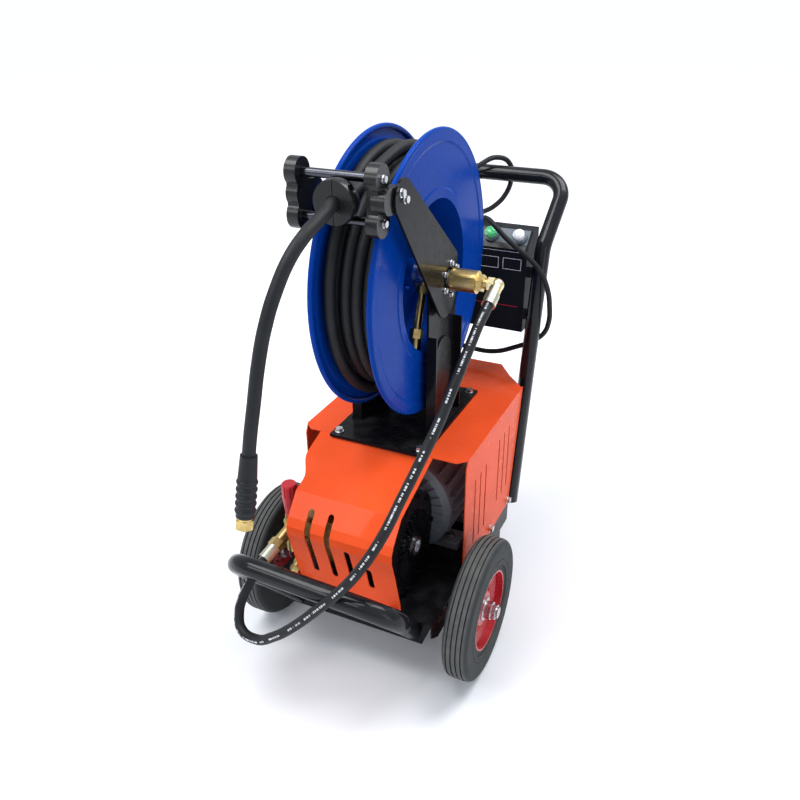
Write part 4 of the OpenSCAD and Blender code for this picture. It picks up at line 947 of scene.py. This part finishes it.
# %% [markdown]
# ### Sprayed bolts
# The two bolts at the hood's lower edge were sprayed together with the cover. A mesh can hold
# several materials, and each face says which one it shows, so only those faces are repainted.

# %% Sprayed bolts
HOOD_LIP = from_axle(0, -0.104, 0.164)
NEAR_Y, NEAR_Z = 0.012, 0.015

bolts = nodes["bolts"].data
bolts.materials.append(finishes["orange_paint"])
sprayed = 0
for face in bolts.polygons:
    off_lip = face.center - HOOD_LIP
    if abs(off_lip.y) < NEAR_Y and abs(off_lip.z) < NEAR_Z:
        face.material_index = 1
        sprayed += 1
print("sprayed", sprayed, "faces of the bolts")

# %% [markdown]
# ## The floor
# The machine stands on a plain pale floor that reaches the horizon. A curved backdrop would look
# right from one side only. The floor glows more the further it is from the machine, but only for
# the camera and in reflections: so it fades to white, keeps the shadow and lights nothing.

# %% Floor
FLOOR_HALF = 150
GLOW_FROM, GLOW_TO = 0.35, 2.6
GLOW_NEAR, GLOW_FAR = 0.05, 0.60

build = bmesh.new()
bmesh.ops.create_grid(build, x_segments=1, y_segments=1, size=FLOOR_HALF)
floor = mesh_piece("floor", build)
floor_look = bpy.data.materials.new("floor")
floor_look.use_nodes = True
paper = floor_look.node_tree
paper_shader = paper.nodes["Principled BSDF"]
paper_shader.inputs["Base Color"].default_value = (0.93, 0.94, 0.96, 1)
paper_shader.inputs["Roughness"].default_value = 0.9
paper_shader.inputs["Specular IOR Level"].default_value = 0.0
paper_shader.inputs["Emission Strength"].default_value = 1.0
paper_where = add(paper, "ShaderNodeTexCoord").outputs["Object"]
away = add(paper, "ShaderNodeVectorMath", {0: paper_where}, operation="LENGTH").outputs["Value"]
glow = ramp(paper, away, GLOW_FROM, GLOW_TO, GLOW_NEAR, GLOW_FAR)
ray = add(paper, "ShaderNodeLightPath").outputs
seen = calc(paper, "MAXIMUM", ray["Is Camera Ray"], ray["Is Glossy Ray"])
shown = calc(paper, "MULTIPLY", glow, seen)
glow_colour = blend(paper, shown, (0, 0, 0, 1), (1.0, 0.99, 0.96, 1))
paper.links.new(glow_colour, paper_shader.inputs["Emission Color"])
floor.data.materials.append(floor_look)

# %% [markdown]
# ## The sky
# The world gives an even, slightly blue light, as a bright day under thin cloud does. Light Path
# tells the rays apart: the camera sees plain white, a reflection sees a tone half way to white,
# and the light that falls on the machine keeps the blue.

# %% Sky
SKY_LOW, SKY_HIGH = (0.37, 0.425, 0.53, 1), (0.44, 0.47, 0.53, 1)
SKY_TOP = 0.9
MIRRORED_WHITE = 0.5

sky = bpy.data.worlds.new("sky")
bpy.context.scene.world = sky
sky.use_nodes = True
sky_tree = sky.node_tree
sky_where = add(sky_tree, "ShaderNodeTexCoord").outputs["Generated"]
height = add(sky_tree, "ShaderNodeSeparateXYZ", {0: sky_where}).outputs["Z"]
sky_tone = blend(sky_tree, ramp(sky_tree, height, 0.0, SKY_TOP), SKY_LOW, SKY_HIGH)
sky_ray = add(sky_tree, "ShaderNodeLightPath").outputs
mirrored = calc(sky_tree, "MULTIPLY", sky_ray["Is Glossy Ray"], MIRRORED_WHITE)
whitened = calc(sky_tree, "MAXIMUM", sky_ray["Is Camera Ray"], mirrored)
sky_colour = blend(sky_tree, whitened, sky_tone, (1, 1, 1, 1))
background = sky_tree.nodes["Background"].inputs
sky_tree.links.new(sky_colour, background["Color"])
background["Strength"].default_value = 1.0
print("sky goes from", SKY_LOW[:3], "to", SKY_HIGH[:3])

# %% [markdown]
# ## The lights
# Point lights would give hard shadows, so four large panels are used. The key panel hangs high at
# the front left, and a second one high at the back right. Two weak ones, one at the right and one
# in front at the left, give paint and tubes something to reflect.

# %% Lights
def soft_light(name, place, aim, size, power):
    data = bpy.data.lights.new(name, "AREA")
    data.shape = "RECTANGLE"
    data.size, data.size_y = size
    data.energy = power
    lamp = bpy.data.objects.new(name, data)
    bpy.context.collection.objects.link(lamp)
    towards = (Vector(aim) - Vector(place)).to_track_quat("-Z", "Y").to_matrix().to_4x4()
    lamp.matrix_world = Matrix.Translation(place) @ towards
    print(name, "panel of", power, "W at", place)


soft_light("key", (-1.0, -0.9, 3.1), (0, 0, 0.4), (1.6, 1.6), 62)
soft_light("top", (0.9, 0.9, 2.8), (0, 0, 0.5), (1.2, 2.0), 54)
soft_light("side", (2.2, -1.0, 0.9), (0, -0.1, 0.35), (0.8, 1.4), 5)
soft_light("front", (-0.9, -1.78, 1.65), (0, -0.27, 0.33), (0.9, 0.5), 7)
